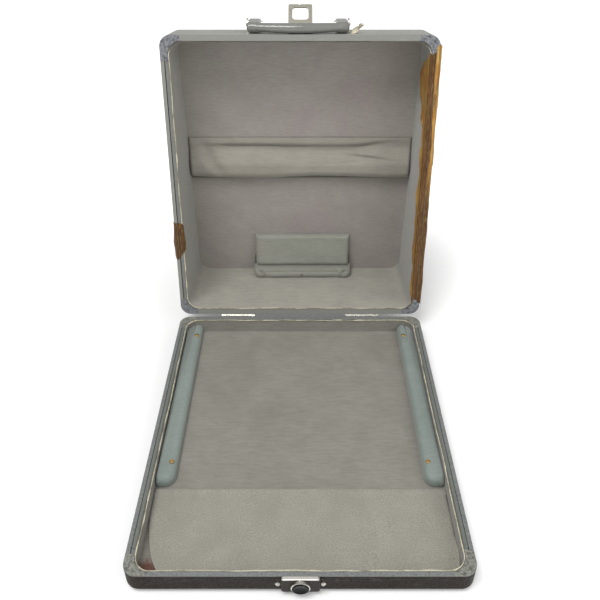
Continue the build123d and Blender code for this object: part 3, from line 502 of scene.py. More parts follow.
@dataclass(frozen=True, kw_only=True)
class LiningCloth(Look):
    """Brushed cotton lining, woven with thick and thin yarn: matt, with short faint dashes across.

    Attributes:
        shade: colour of the hollows and dashes.
        stain: colour of the large stains.
        yarn: spacing of the slubs, mm. The real yarn is about 0.5; it is drawn coarser so that it shows.
        slub: how strongly the slubs show, 0 to 1.
        rear: how much of the rear wall is a paler cloth, 0 to 1.
        painted_shadow_y: y of the edge of a part standing off the lining, below which a painted shadow lies,
            mm, or 0 for none.
        spot: middle of a rusty worn spot, mm, or None.
    """

    shade: str
    stain: str
    yarn: float = 1.5
    slub: float = 0.3
    rear: float = 0.0
    painted_shadow_y: float = 0.0
    spot: tuple[float, float, float] | None = None

    def paint(self, g: Graph, where: Socket) -> Material:
        """Slubs are noise drawn out along x, the weave adds waves across them, a map gives painted shade in
        folds.
        """
        _, y, _ = g.axes(where)
        slubs = g.noise(self.yarn * 1.5, where, 3.0, 0.6, drawn=(0.16, 1.0, 1.0))
        fine = g.noise(0.8, where, 2.0, 0.7, drawn=(0.4, 1.0, 1.0))
        cross = g.add("TexWave", {"Vector": where, "Scale": 1.0 / self.yarn / 6.28, "Distortion": 3.0,
                                  "Detail": 2.0, "Detail Scale": 3.0}, bands_direction="X").outputs["Fac"]
        lumps = g.noise(38.0, where, 4.0)
        colour = g.tint(self.body, g.noise(110.0, where, 3.0, warp=1.0), 0.45, 0.68, 0.5, self.stain)
        if self.rear > 0:
            torn = g.math("ADD", y, g.times(g.noise(16.0, where, 4.0), 12.0))
            colour = g.lay(colour, g.between(torn, 398.0, 406.0), self.rear, "#b5b1a4")
        colour = g.tint(colour, slubs, 0.6, 0.34, self.slub, self.shade)
        colour = g.lay(colour, fine, 0.3 * self.slub, self.shade)
        colour = g.tint(colour, lumps, 0.42, 0.72, 0.22, self.shade)
        colour = g.tint(colour, g.noise(1.3, where, 1.0), 0.68, 0.76, 0.3, "#c9c4b8")
        # painted shadow: a dark band on the lining just below the bolster's low edge
        if self.painted_shadow_y > 0:
            band = g.times(g.between(y, self.painted_shadow_y + 6.0, self.painted_shadow_y),
                           g.between(y, self.painted_shadow_y - 30.0, self.painted_shadow_y - 20.0))
            colour = g.lay(colour, band, 0.7, "#35322c")
        if self.spot is not None:
            away = g.add("VectorMath", {0: where, 1: self.spot}, operation="DISTANCE").outputs["Value"]
            away = g.math("ADD", away, g.times(g.noise(5.0, where, 4.0), 14.0))
            colour = g.lay(colour, g.between(away, 26.0, 15.0), 0.85, "#5e3226")
        # painted shade: each piece's map darkens its folds, hollows and hidden edges towards a dark grey
        colour = g.mix(g.map("painted_shade")[0], colour, "#55524a")
        weave = g.math("ADD", g.times(slubs, 0.75), g.times(cross, 0.25))
        return g.surface(
            Base_Color=colour, Roughness=0.92, Sheen_Weight=0.25, Sheen_Roughness=0.5,
            Normal=g.raised(lumps, 1.2, 0.35, g.raised(weave, 0.22, 0.45)), Specular_IOR_Level=0.25,
        )


@dataclass(frozen=True, kw_only=True)
class Felt(Look):
    """Pressed wool felt: matt, speckled with dark and pale fibres, rubbed pale along its edges.

    Attributes:
        dark: colour of dark fibres.
        pale: colour of pale fibres.
    """

    dark: str
    pale: str

    def paint(self, g: Graph, where: Socket) -> Material:
        """Fibres are fine noise at two sizes over broad patches; edges come from the map."""
        fibres = g.noise(1.3, where, 4.0, 0.8)
        broad = g.noise(34.0, where, 4.0)
        rubbed = g.math("ADD", g.map("edge")[0], g.times(g.noise(9.0, where, 4.0), 0.35))
        colour = g.tint(self.body, fibres, 0.5, 0.38, 0.7, self.dark)
        colour = g.tint(colour, fibres, 0.54, 0.7, 0.7, self.pale)
        colour = g.tint(colour, broad, 0.35, 0.7, 0.3, self.dark)
        colour = g.lay(colour, g.between(rubbed, 0.7, 1.0), 0.75, self.pale)
        return g.surface(Base_Color=colour, Roughness=0.95, Sheen_Weight=0.3, Specular_IOR_Level=0.2,
                         Normal=g.raised(broad, 1.0, 0.4, g.raised(fibres, 0.4, 0.6)))


@dataclass(frozen=True, kw_only=True)
class FrayedTape(Look):
    """Cotton edging tape, cut and rubbed to loose threads: pale, with darker dirt between them.

    Attributes:
        dirt_and_shade: colour of the dirt.
        front: how much the stretch along the front is soiled grey, 0 to 1.
    """

    dirt_and_shade: str
    front: float = 0.0

    def paint(self, g: Graph, where: Socket) -> Material:
        """Threads are fine noise, dirt is broad noise."""
        threads = g.noise(0.9, where, 3.0, 0.7)
        colour = g.tint(self.body, g.noise(14.0, where, 4.0), 0.45, 0.72, 1.0, self.dirt_and_shade)
        colour = g.tint(colour, threads, 0.5, 0.35, 0.6, self.dirt_and_shade)
        colour = g.lay(colour, g.between(g.axes(where)[1], 24.0, 12.0), self.front, "#5d5b55")
        return g.surface(Base_Color=colour, Roughness=0.95, Specular_IOR_Level=0.2,
                         Normal=g.raised(threads, 0.3, 0.8))


@dataclass(frozen=True, kw_only=True)
class KraftTape(Look):
    """Gummed kraft paper, brittle with age: dark where it is stuck down, golden where it stands loose.

    Attributes:
        dark: colour of the stuck parts.
        pale: colour of the torn edges.
        all_dark: share of the gold that is stained dark too, 0 to 1.
    """

    dark: str
    pale: str
    all_dark: float

    def paint(self, g: Graph, where: Socket) -> Material:
        """The stuck part follows the tape's map: u runs along it in decimetres, v across it from 0 to 1."""
        u, v, _ = g.map("tape")
        streaks = g.noise(3.4, where, 4.0, 0.65, drawn=(1.0, 0.05, 1.0))
        broad = g.noise(24.0, where, 4.0)
        fine = g.noise(1.2, where, 3.0, drawn=(1.0, 0.12, 1.0))
        wander = g.math("ADD", v, g.times(g.math("SUBTRACT", streaks, 0.5), 0.3))
        middle = g.times(g.between(wander, 0.49, 0.55), g.between(wander, 0.86, 0.78))
        low = g.times(g.between(u, 2.6, 1.6), g.between(wander, 0.80, 0.72), g.between(wander, 0.16, 0.30))
        stuck = g.math("MAXIMUM", middle, low, clamp=True)
        rust = g.times(stuck, g.ramp(streaks, 0.52, 0.62), g.between(wander, 0.58, 0.63))
        colour = g.tint(self.body, broad, 0.4, 0.7, 1.0, self.pale)
        colour = g.tint(colour, streaks, 0.42, 0.6, 0.55, self.dark)
        colour = g.mix(self.all_dark, colour, self.dark)
        colour = g.lay(colour, stuck, 0.9, self.dark)
        colour = g.lay(colour, rust, 0.5, "#80563a")
        colour = g.tint(colour, fine, 0.5, 0.7, 0.25, self.pale)
        return g.surface(
            Base_Color=colour, Roughness=g.math("ADD", g.times(fine, 0.25), 0.38), Specular_IOR_Level=0.3,
            Normal=g.raised(broad, 0.8, 0.5, g.raised(streaks, 0.6, 0.7)),
        )


@dataclass(frozen=True, kw_only=True)
class PlatedSteel(Look):
    """Nickel-plated steel, pressed and barrel-polished: bright, clouded and pitted by age.

    Attributes:
        tarnish: colour of the clouded places.
        clouding: how much is clouded, 0 to 1.
        rough: roughness of the clean metal.
        face: how much of the front face is painted near black and less glossy as shade, 0 to 1; its upper lip
            stays bright.
        under: how much painted shade darkens the metal below the lock's middle, 0 to 1.
    """

    tarnish: str
    clouding: float = 0.4
    rough: float = 0.2
    face: float = 0.0
    under: float = 0.0

    def paint(self, g: Graph, where: Socket) -> Material:
        """Clouds are noise, pits its fine peaks, and brushing noise drawn out along x."""
        _, y, z = g.axes(where)
        pits = g.noise(1.1, where, 2.0)
        brushed = g.noise(0.6, where, 2.0, drawn=(0.06, 1.0, 1.0))
        cloud = g.times(g.ramp(g.noise(5.0, where, 5.0, 0.65), 0.4, 0.65), self.clouding)
        colour = g.mix(cloud, self.body, self.tarnish)
        colour = g.tint(colour, pits, 0.66, 0.74, 0.6, "#5e5546")
        metal, gloss = 1.0, 0.5
        if self.face > 0:
            # painted shade: front faces near black and dull, the upper lip left bright nickel
            black = g.times(g.between(y, 0.2, -0.4), g.between(z, LOCK_TOP - 0.6, LOCK_TOP - 1.3))
            colour = g.lay(colour, black, self.face, "#1d1610")
            metal = g.math("SUBTRACT", 1.0, g.times(black, self.face))
            gloss = g.math("SUBTRACT", 0.5, g.times(black, 0.42))
        if self.under > 0:
            # painted shade on the collar's lower side, turned from the light
            colour = g.lay(colour, g.between(z, LOCK_MIDDLE, LOCK_MIDDLE - 4.0), self.under, "#3c3833")
        return g.surface(
            Base_Color=colour, Metallic=metal, Specular_IOR_Level=gloss,
            Roughness=g.math("ADD", g.times(cloud, 0.35), g.math("ADD", g.times(brushed, 0.12), self.rough)),
            Normal=g.raised(pits, 0.06, 0.5, g.raised(brushed, 0.02, 0.4)),
        )


@dataclass(frozen=True, kw_only=True)
class Moulding(Look):
    """Moulded plastic or rubber: a smooth skin with dust and fine scratches.

    Attributes:
        dust: colour of the dust.
        rough: roughness.
        gloss: how strongly it reflects; 0.5 is a clean surface.
        dusty: how much dust, 0 to 1.
    """

    dust: str
    rough: float
    gloss: float = 0.5
    dusty: float = 0.3

    def paint(self, g: Graph, where: Socket) -> Material:
        """Dust is broad noise, scratches are noise drawn out along x."""
        dust = g.noise(11.0, where, 5.0)
        marks = g.noise(0.8, where, 3.0, drawn=(0.08, 1.0, 1.0))
        colour = g.tint(self.body, dust, 0.42, 0.7, self.dusty, self.dust)
        colour = g.tint(colour, marks, 0.6, 0.72, 0.3, self.dust)
        return g.surface(
            Base_Color=colour, Roughness=g.math("ADD", g.times(dust, 0.15), self.rough - 0.06),
            Normal=g.raised(dust, 0.15, 0.3, g.raised(marks, 0.03, 0.4)), Specular_IOR_Level=self.gloss,
        )


@dataclass(frozen=True, kw_only=True)
class Board(Look):
    """Poplar plywood, sealed with brown glue size: matt, with grain along y.

    Attributes:
        dark: colour of the grain.
    """

    dark: str

    def paint(self, g: Graph, where: Socket) -> Material:
        """Grain is noise drawn out along y."""
        grain = g.noise(1.6, where, 4.0, drawn=(1.0, 0.05, 1.0))
        return g.surface(Base_Color=g.tint(self.body, grain, 0.35, 0.65, 1.0, self.dark), Roughness=0.85,
                         Normal=g.raised(grain, 0.3, 0.5))


# ------------------------------------------------------------------------------------ finishes in use
class Finish(Enum):
    """The case's finishes, by the part they are on."""

    # one cloth: the base's darker body is painted shade on faces turned from the light, the lid's lighter
    # body painted light from above
    BASE_COVER = Leathercloth(name="vinyl_coated_cloth_base", body="#57585a", dull="#454340", worn="#8a867d",
                              rim="#828684", grime_and_shade=0.96)
    LID_COVER = Leathercloth(name="vinyl_coated_cloth_lid", body="#a4a39c", dull="#84847f", worn="#b9b6ab",
                             rim="#83847f", in_lid=True)
    STRIP = Leathercloth(name="vinyl_coated_cloth_strip", body="#6d716c", dull="#565955", worn="#8b8880",
                         rim="#6f736d")
    LID_STRIP = Leathercloth(name="vinyl_coated_cloth_strip_lid", body="#7f817d", dull="#656762",
                             worn="#98958c", rim="#82837f", in_lid=True)
    BASE_CORNER = Leathercloth(name="vinyl_coated_cloth_corner", body="#8a8b83", dull="#474740",
                               worn="#a5a297", rim="#8a8b83", pits=0.85, pebble=2.4)
    LID_CORNER = Leathercloth(name="vinyl_coated_cloth_corner_lid", body="#84868a", dull="#3d4043",
                              worn="#a3a19a", rim="#84868a", pits=0.85, pebble=2.4, in_lid=True)
    LID_LINING = LiningCloth(name="brushed_cotton_lining_lid", body="#a6a19a", shade="#847f78",
                             stain="#9c8f92", in_lid=True, slub=0.32, yarn=1.2, painted_shadow_y=224.0)
    LID_WALLS = LiningCloth(name="brushed_cotton_lining_lid_walls", body="#9d9c95", shade="#807e76",
                            stain="#90928a", in_lid=True, slub=0.35, rear=0.6)
    BOLSTER = LiningCloth(name="brushed_cotton_bolster", body="#a09c92", shade="#857f76", stain="#999589",
                          in_lid=True)
    REAR_PAD = LiningCloth(name="brushed_cotton_rear_pad", body="#9a9b91", shade="#7c7d74", stain="#92948a",
                           in_lid=True)
    BASE_LINING = LiningCloth(name="brushed_cotton_lining_base", body="#8f8d84", shade="#6e6b63",
                              stain="#807c73", slub=0.35, spot=(-162.0, 17.0, 8.0))
    RAIL = LiningCloth(name="brushed_cotton_rail", body="#8b958f", shade="#707a75", stain="#7f8a85")
    FELT = Felt(name="pressed_wool_felt", body="#9a988d", dark="#7b786f", pale="#bcb9ab")
    EDGING = FrayedTape(name="frayed_cotton_edging", body="#d8d1b8", dirt_and_shade="#8d8574")
    LID_EDGING = FrayedTape(name="frayed_cotton_edging_lid", body="#d8d1b8", dirt_and_shade="#8d8574", front=0.9,
                            in_lid=True)
    KRAFT = KraftTape(name="aged_gummed_kraft", body="#bb8236", dark="#432a12", pale="#d0a95c",
                      all_dark=0.15, in_lid=True)
    KRAFT_SMALL = KraftTape(name="aged_gummed_kraft_small", body="#bb8236", dark="#432a12", pale="#d0a95c",
                            all_dark=0.6, in_lid=True)
    NICKEL = PlatedSteel(name="nickel_plated_steel", body="#e2dfd6", tarnish="#8b8474")
    HASP = PlatedSteel(name="nickel_plated_steel_worn", body="#d2cfc2", tarnish="#88826c", clouding=0.7,
                       rough=0.26)
    # lock case: bright nickel with its front faces painted near black as shade
    DARK_STEEL = PlatedSteel(name="plated_steel_painted_shade_front", body="#eceae2", tarnish="#b5b0a0",
                             clouding=0.3, rough=0.3, face=0.97)
    # collar: its lower side painted darker as shade
    COLLAR = PlatedSteel(name="nickel_plated_steel_collar", body="#e2dfd6", tarnish="#8b8474", under=0.85)
    BRASS = PlatedSteel(name="yellow_brass", body="#d8b676", tarnish="#8a6b3a", clouding=0.5, rough=0.28)
    GRIP = Moulding(name="moulded_pvc_grip", body="#757571", dust="#8b8a83", rough=0.13)
    BUTTON = Moulding(name="moulded_phenolic_black", body="#050506", dust="#1c1a18", rough=0.14,
                      dusty=0.12, gloss=0.1)
    RUBBER = Moulding(name="moulded_black_rubber", body="#1b1a19", dust="#4a4641", rough=0.7)
    BOARD = Board(name="sized_poplar_plywood", body="#5a5249", dark="#37322d")


NODE_FINISHES: dict[Finish, str] = {
    Finish.BASE_COVER: "base_covering",
    Finish.LID_COVER: "lid_covering",
    Finish.LID_LINING: "lid_ceiling",
    Finish.LID_WALLS: "lid_wall_lining",
    Finish.BASE_LINING: "base_floor_lining base_wall_lining",
    Finish.STRIP: "base_strip_left base_strip_right",
    Finish.LID_STRIP: "lid_strip_left lid_strip_right",
    Finish.NICKEL: "handle_brackets handle_pins bracket_rivets hinge_base_leaves hinge_lid_leaves hinge_pins "
                   "hinge_base_screws hinge_lid_screws lock_screws glide_front_left glide_front_right "
                   "glide_rear_left glide_rear_right",
    Finish.HASP: "hasp_plate hasp_base hasp_pin hasp_rivets",
    Finish.DARK_STEEL: "lock_case",
    Finish.COLLAR: "lock_collar",
    Finish.BRASS: "rail_screws",
    Finish.GRIP: "handle_grip",
    Finish.BUTTON: "lock_button",
    Finish.RUBBER: "base_feet lid_feet",
    Finish.BOARD: "base_side_left base_side_right base_front_board base_rear_board base_floor_board "
                  "lid_side_left lid_side_right lid_front_board lid_rear_board lid_top_board",
}


def dress(piece: Piece, finish: Finish) -> None:
    """Gives a piece one finish on all its slots."""
    piece.data.materials.clear()
    piece.data.materials.append(finish.value.material())


def settle(piece: Piece, finish: Finish, in_lid: bool) -> None:
    dress(piece, finish)
    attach(piece, "lid" if in_lid else "base")


# ------------------------------------------------------------------------------------ soft pieces
@dataclass
class Bolster:
    """Padded bolster across the lid's ceiling, sewn along its front edge and pulled over wadding.

    Attributes:
        low_s: its rear edge, mm in front of the rear face.
        high_s: its sewn edge, mm in front of the rear face.
        half: half its width, mm.
        thick: thickness near the rear edge, mm.
        face: share of a section's points that are on its face; the rest are on its back.
    """

    low_s: float = 186.0
    high_s: float = 251.0
    half: float = 171.2
    thick: float = 17.5
    face: float = 0.62

    def grid(self) -> tuple[Array, Array, Array]:
        """The face and back as a grid.

        Returns:
            x in mm, the way from the seam, 0, to the low edge, 1, and whether each point is on the face.
        """
        t = np.linspace(0, 1, 96, endpoint=False)
        x, t = np.meshgrid(np.linspace(-self.half, self.half, 260), t, indexing="ij")
        return x, np.where(t < self.face, t / self.face, (1 - t) / (1 - self.face)), t < self.face

    @staticmethod
    def folds(x: Array, fall: Array) -> tuple[Array, ...]:
        """Where the sewn hollow, the slanting pleat and the wrinkle are, each from 0 to 1.

        Args:
            x: place across the bolster, mm.
            fall: place from the seam, 0, to the low edge, 1.

        Returns:
            The hollow, the pleat's trough, its ridge and the wrinkle.
        """
        hollow_fall = 0.235 + 0.010 * np.sin(x / 31.0) - 0.11 * step(x, 70, 150) - 0.03 * step(x, 0, -130)
        hollow = bump(fall, hollow_fall, 0.055) * step(x, -150, -105) * (1 - 0.7 * step(x, 100, 150))
        slant = x + 160 - 24 * fall - 10 * fall**2
        window = step(fall, 0.0, 0.3) * (1 - step(fall, 0.7, 1.05))
        wrinkle = bump(fall, 0.41 + 0.0017 * (x - 79), 0.024) * bump(x, 106, 28)
        return hollow, bump(slant, 11, 8.5) * window, bump(slant, -6, 9) * window, wrinkle

    def creases(self, x: Array, fall: Array) -> Array:
        """Depth that the folds add, mm: troughs are lowered, and the cloth beside them stands up."""
        hollow, trough, ridge, wrinkle = self.folds(x, fall)
        total = 0.8 * bump(fall, 0.12, 0.07) - 3.3 * hollow - 2.2 * trough + 1.5 * ridge - 2.2 * wrinkle
        total += 1.0 * bump(fall, 0.345 + 0.0017 * (x - 79), 0.04) * bump(x, 106, 34)
        total += 0.7 * bump(fall, 0.42 + 0.0008 * x, 0.05) * bump(x, -30, 70)
        total -= 0.8 * bump(fall, 0.62 - 0.0006 * x, 0.04) * bump(x, 60, 50)
        return total + ripple(point(x, fall * 65), 11, 80) * step(fall, 0.25, 0.5)

    def sections(self) -> Array:
        """Sections of the wadding: a flat back, a thin sewn edge and a full round low edge.

        The face rises smoothly from the seam to the fullest place, and a rounded quarter closes the low
        edge. The creases are added, the ends taper, and the low edge wanders and sags.

        Returns:
            (across, around, 3) array, mm.
        """
        x, fall, face = self.grid()
        depth = 3.0 + (self.thick - 3.0) * step(fall, 0.20, 0.68) ** 0.85
        depth *= np.sqrt(np.clip(1 - np.clip((fall - 0.80) / 0.20, 0, 1) ** 2.2, 0, 1))
        depth += self.creases(x, fall)
        depth *= 1 - np.clip((np.abs(x) - (self.half - 7)) / 7, 0, 1) ** 3 * 0.55
        depth = np.where(face, np.maximum(depth, 0.35), 0.35)
        wander = 1.6 * np.sin(x / 37.0 + 0.6) + 1.2 * np.sin(x / 91.0 + 2.0)
        s = self.high_s - (self.high_s - self.low_s) * fall + 0.8 * wander * step(fall, 0.5, 1.0)
        y = CASE_D - s + 2.2 * bump(x, -60, 70) * step(fall, 0.6, 1.0)
        return point(x, y, ceiling_z(y) - depth)

    def build(self) -> Piece:
        """Builds the bolster, with painted shade mapped in its folds and sewn hollow, under its low edge and
        at its two ends.
        """
        piece = tube("bolster_pad", self.sections(), True)
        x, fall, face = self.grid()
        fall = np.where(face, fall, 0.0)
        hollow, trough, _, wrinkle = self.folds(x, fall)
        ends = step(np.abs(x), self.half - 3.5, self.half - 0.5)
        # painted shade: hollow, pleat and wrinkle, both ends, and the underside of the low edge
        dirt_and_shade = 0.42 * hollow + 0.16 * trough + 0.5 * wrinkle + 0.8 * ends + 0.7 * step(fall, 0.955, 0.995)
        write_map(piece, "painted_shade", np.clip(dirt_and_shade, 0, 0.8))
        settle(piece, Finish.BOLSTER, True)
        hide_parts("lid_bolster")
        return piece


@dataclass
class RearPad:
    """Padded block in the corner of ceiling and rear wall: a flat cushion, a fold, and a roll down the wall.

    Attributes:
        middle: its middle, mm.
        width: extent in x, mm.
        wall_s: the rear wall, mm in front of the rear face.
        front_s: its front edge, mm in front of the rear face.
    """

    middle: float = 4.0
    width: float = 159.0
    wall_s: float = 9.4
    front_s: float = 79.0

    def face(self) -> Array:
        """The section's face, from the ceiling at the front over the cushion, fold and roll to the wall.

        Corners of the outline are joined by straight runs, and a moving mean along the run rounds them.

        Returns:
            (n, 2) array of s and depth below the ceiling, mm.
        """
        corners = np.array([
            (self.front_s, 0.4), (78.8, 8.5), (76.0, 12.3), (70.0, 13.0), (45.0, 17.2), (30.0, 19.6),
            (26.6, 19.2), (23.6, 16.6), (22.4, 18.2), (22.9, 22.0), (22.6, 27.0), (21.4, 31.4), (19.9, 33.2),
            (20.3, 35.0), (18.8, 38.6), (15.0, 39.9), (11.6, 39.2), (self.wall_s, 37.4),
        ])
        line = along(corners, np.linspace(0, walked(corners)[-1], 110))
        padded = np.pad(line, ((2, 2), (0, 0)), mode="edge")
        return sum(padded[k : k + len(line)] for k in range(5)) / 5

    def sections(self) -> Array:
        """Sections across x: near each end the depth shrinks, and the roll flares a little past the cushion.

        Returns:
            (across, around, 3) array, mm.
        """
        line = self.face()
        u = np.sin(np.linspace(-math.pi / 2, math.pi / 2, 150))[:, None]
        u, s, depth = (a.copy() for a in np.broadcast_arrays(u, line[:, 0], line[:, 1]))
        low = step(depth, 19.0, 27.0) * step(s, 30.0, 24.0)
        end = np.clip(1 - np.abs(u) ** 40, 0, 1) ** 0.5
        x = self.middle + u * self.width / 2 * (0.985 + 0.045 * low)
        points = point(x, s, depth)
        depth = depth * (0.25 + 0.75 * end) + 0.6 * ripple(points, 5, 60) * end * (depth > 6)
        depth -= 1.6 * low * step(np.abs(u), 0.86, 1.0) * step(depth, 30, 39)
        s += 0.5 * ripple(points, 6, 45) * low
        s -= 1.3 * low * bump(x, -66, 7) * bump(depth, 33, 5)
        s -= 2.2 * low * bump((x - 66) - 0.9 * (depth - 33), 0, 4) * bump(x, 66, 13)
        y = CASE_D - np.maximum(s, self.wall_s)
        face = point(x, y, ceiling_z(y) - np.maximum(depth, 0.36))
        back_y = CASE_D - np.concatenate([[self.wall_s], np.linspace(self.wall_s, self.front_s, 24)])
        back_depth = np.where(np.arange(len(back_y)) == 0, 12.0, 0.36)
        return np.concatenate([face, point(x[:, :1], back_y, ceiling_z(back_y) - back_depth)], axis=1)

    def build(self) -> Piece:
        """Builds the block, with painted shade mapped in its fold, notch and lip, at its sides and corners
        and over its lower roll.
        """
        made = self.sections()
        piece = tube("rear_block_pad", made, True)
        s, x = CASE_D - made[..., 1], made[..., 0]
        depth = ceiling_z(made[..., 1]) - made[..., 2]
        aside, half = np.abs(x - self.middle), self.width / 2
        # painted shade: fold, notch, lip, sides and corners, and the downward-facing lower roll
        dirt_and_shade = 0.5 * bump(s, 25.0, 4.0) * bump(depth, 18.0, 2.6)
        dirt_and_shade += 0.8 * bump(x, self.middle - 1, 1.4) * step(depth, 38.3, 39.2)
        dirt_and_shade += 0.35 * bump(s, 20.2, 1.4) * bump(depth, 34.2, 1.2)
        dirt_and_shade += 0.2 * step(aside, half - 1.5, half + 1) * step(depth, 2.0, 6.0)
        corner = bump(aside + 0.9 * (depth - 34), half - 12, 3.5)
        dirt_and_shade += 0.5 * corner * step(depth, 28, 31) * bump(aside, 70, 9)
        write_map(piece, "painted_shade", np.clip(dirt_and_shade + 0.12 * step(depth, 20, 26), 0, 0.85))
        settle(piece, Finish.REAR_PAD, True)
        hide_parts("lid_rear_pad")
        return piece


@dataclass
class SideRail:
    """Padded rail on the base's floor: a board covered in cloth over wadding, its front rolled over.

    Attributes:
        side: -1 on the left, 1 on the right.
        front: front edge, mm from the case's front face.
        back: rear edge, mm.
        inner: inner face, mm from the middle.
        outer: outer face, mm from the middle.
        height: above the floor, mm.
        roll: radius of its rounded upper edge, mm.
    """

    side: int
    front: float = 121.2
    back: float = 401.7
    inner: float = 149.1
    outer: float = 171.2
    height: float = 14.3
    roll: float = 7.0

    def outline(self, inset: float, height: float) -> Array:
        """Plan outline at a height above the floor, with a wide round at the inner front corner.

        Args:
            inset: how far it is drawn in on its inner and front sides, mm; 1 mm at most on the others.
            height: above the floor, mm.

        Returns:
            (n, 3) array, mm.
        """
        tuck = min(inset, 1.0)
        x0, x1 = self.inner + inset, self.outer - tuck
        y0, y1 = self.front + inset, self.back - tuck
        wide, small, rear = max(12.0 - inset, 3.5), max(2.5 - inset, 0.05), 17.0 - tuck
        loop = even_loop([
            arc(x0 + wide, y0 + wide, wide, 180, 14), arc(x1 - 1.5, y0 + 1.5, 1.5, 270, 14),
            np.maximum(arc(x1 - rear, y1 - rear, rear, 0, 14), (x0, y0)),
            arc(x0 + small, y1 - small, small, 90, 14),
        ], count=220)
        return point(loop[:, 0], loop[:, 1], FLOOR_TOP + height)

    def build(self) -> Piece:
        """Stacks outlines from the floor to the crown: each level is drawn in as a quarter circle goes in."""
        turns = np.radians(np.linspace(0, 90, 12))
        shoulder = zip(self.roll * (1 - np.cos(turns)), self.height - self.roll * (1 - np.sin(turns)))
        levels = [(0.6, 0.2), (0.0, 1.2), (0.0, 4.0), *shoulder, (8.4, self.height + 0.15),
                  (10.2, self.height + 0.2)]
        points = np.array([self.outline(*level) for level in levels])
        points[3:, :, 2] += 0.45 * ripple(points, 3 + self.side, 55)[3:]
        points[..., 0] *= self.side
        piece = tube(f"rail_pad_{SIDES[self.side]}", points, False)
        settle(piece, Finish.RAIL, False)
        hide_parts(f"rail_{SIDES[self.side]}")
        return piece


@dataclass
class FloorPad:
    """Felt pad at the front of the floor, worn at its front corners, its rear edge turned to a hem.

    Attributes:
        half: half its width, mm.
        front: front edge, mm from the case's front face.
        back: rear edge, mm.
        thick: mm.
        worn: for the left and the right front corner, how far it is worn back in x and in y, mm.
    """

    half: float = 171.2
    front: float = 6.6
    back: float = 117.0
    thick: float = 3.0
    worn: tuple[tuple[float, float], ...] = ((37.0, 96.0), (17.0, 26.0))

    def build(self) -> Piece:
        """A sheet over a grid of x and y, its front edge drawn back in quarter circles at the corners."""
        x = np.linspace(-self.half, self.half, 180)
        start = self.front + 0.5 * ripple(point(x), 22, 14)
        for side, (wide, deep) in zip(SIDES, self.worn):
            near = np.clip((side * x - (self.half - wide)) / wide, 0, 1)
            start = start + deep * (1 - np.sqrt(1 - near**2))
        x, start = x[:, None], start[:, None]
        y = start + (self.back - start) * np.linspace(0, 1, 90)
        edge = np.minimum(y - start, self.half - np.abs(x) + 0.2)
        height = self.thick - 0.5 + 0.45 * ripple(point(x, y), 21, 60)
        height *= 0.35 + 0.65 * np.clip(edge / 2.0, 0, 1) ** 0.5
        height += 1.9 * bump(y, self.back - 2.4, 2.1)
        height += 1.6 * bump(edge, 0, 3.0) * step(np.abs(x), 128, 150) * step(y, 60, 40)
        height += 2.2 * bump(x, 158, 5) * bump(edge, 0, 4.0) * step(y, 40, 25)
        under = FLOOR_TOP + 0.1
        sections = np.concatenate([point(x, y, under + height), point(x, y, under)[:, ::-1]], 1)
        piece = tube("floor_felt_pad", sections, False)
        worn = (1 - np.clip(edge / 5.0, 0, 1)) * step(y, self.front + 60, self.front + 30)
        worn = np.concatenate([worn, worn[:, ::-1]], 1)
        write_map(piece, "edge", worn, worn)
        settle(piece, Finish.FELT, False)
        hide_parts("floor_pad")
        return piece


# ------------------------------------------------------------------------------------ edging and tapes
@dataclass
class Edging:
    """Frayed edging tape along the top of a lining: a thin lip that wavers and stands a little proud.

    Attributes:
        in_lid: whether it is on the lid.
        front: y of the lined space's front, mm.
        rear: y of its rear, mm.
        height: z of the lip's middle, mm.
        seed: picks the wavering.
    """

    in_lid: bool
    front: float
    rear: float
    height: float
    seed: int

    def build(self) -> Piece:
        """Carries an oval section round the lined space; its size and place waver along the way."""
        radius, spacing = 17.9, 1.6
        far_x, far_y = LINED_X - 0.1 - radius, (self.rear - self.front) / 2 - 0.9 - radius
        count = int(radius * math.pi / 2 / spacing)
        corners = ((far_x, -far_y, -90), (far_x, far_y, 0), (-far_x, far_y, 90), (-far_x, -far_y, 180))
        loop = even_loop([arc(x, y, radius, start, count) for x, y, start in corners], spacing)
        ahead = np.roll(loop, -1, 0) - np.roll(loop, 1, 0)
        out = np.stack([ahead[:, 1], -ahead[:, 0]], -1)
        out /= np.linalg.norm(out, axis=1)[:, None]
        flat = point(*loop.T)
        size = 0.95 + 0.35 * ripple(flat, self.seed + 1, 22)
        size += np.random.default_rng(self.seed).uniform(-0.12, 0.12, len(loop))
        turn = np.linspace(0, 2 * math.pi, 10, endpoint=False)[:, None]
        across = -0.25 - 0.5 * ripple(flat, self.seed, 60, 4) + 0.7 * np.cos(turn) * size
        up = 0.35 * ripple(flat, self.seed + 2, 35) + 0.95 * np.sin(turn) * size
        if self.in_lid:
            z = np.maximum(self.height - up, LID_RIM + 0.45)
        else:
            z = np.minimum(self.height + up, BASE_RIM + 0.25)
        x = loop[:, 0] + out[:, 0] * across
        y = (self.front + self.rear) / 2 + loop[:, 1] + out[:, 1] * across
        body = "lid" if self.in_lid else "base"
        piece = tube(f"{body}_edging_tape", point(x, y, z).transpose(1, 0, 2), self.in_lid, ring=True)
        settle(piece, Finish.LID_EDGING if self.in_lid else Finish.EDGING, self.in_lid)
        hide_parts(f"{body}_edging")
        return piece


def paper(name: str, points: Array, across: Array | float, finish: Finish) -> Piece:
    """A sheet of paper on the lid, with a map that runs along and across it.

    Args:
        name: the piece's name.
        points: (rows, columns, 3) array of x, s and height above the rim, mm.
        across: share of the way across at each point, 0 to 1.
        finish: its finish.

    Returns:
        The piece.
    """
    x, s, h = np.moveaxis(points, -1, 0)
    piece = thin(name, point(x, CASE_D - s, LID_RIM + h), True, PAPER_T)
    write_map(piece, "tape", s / 100.0, across)
    settle(piece, finish, True)
    return piece


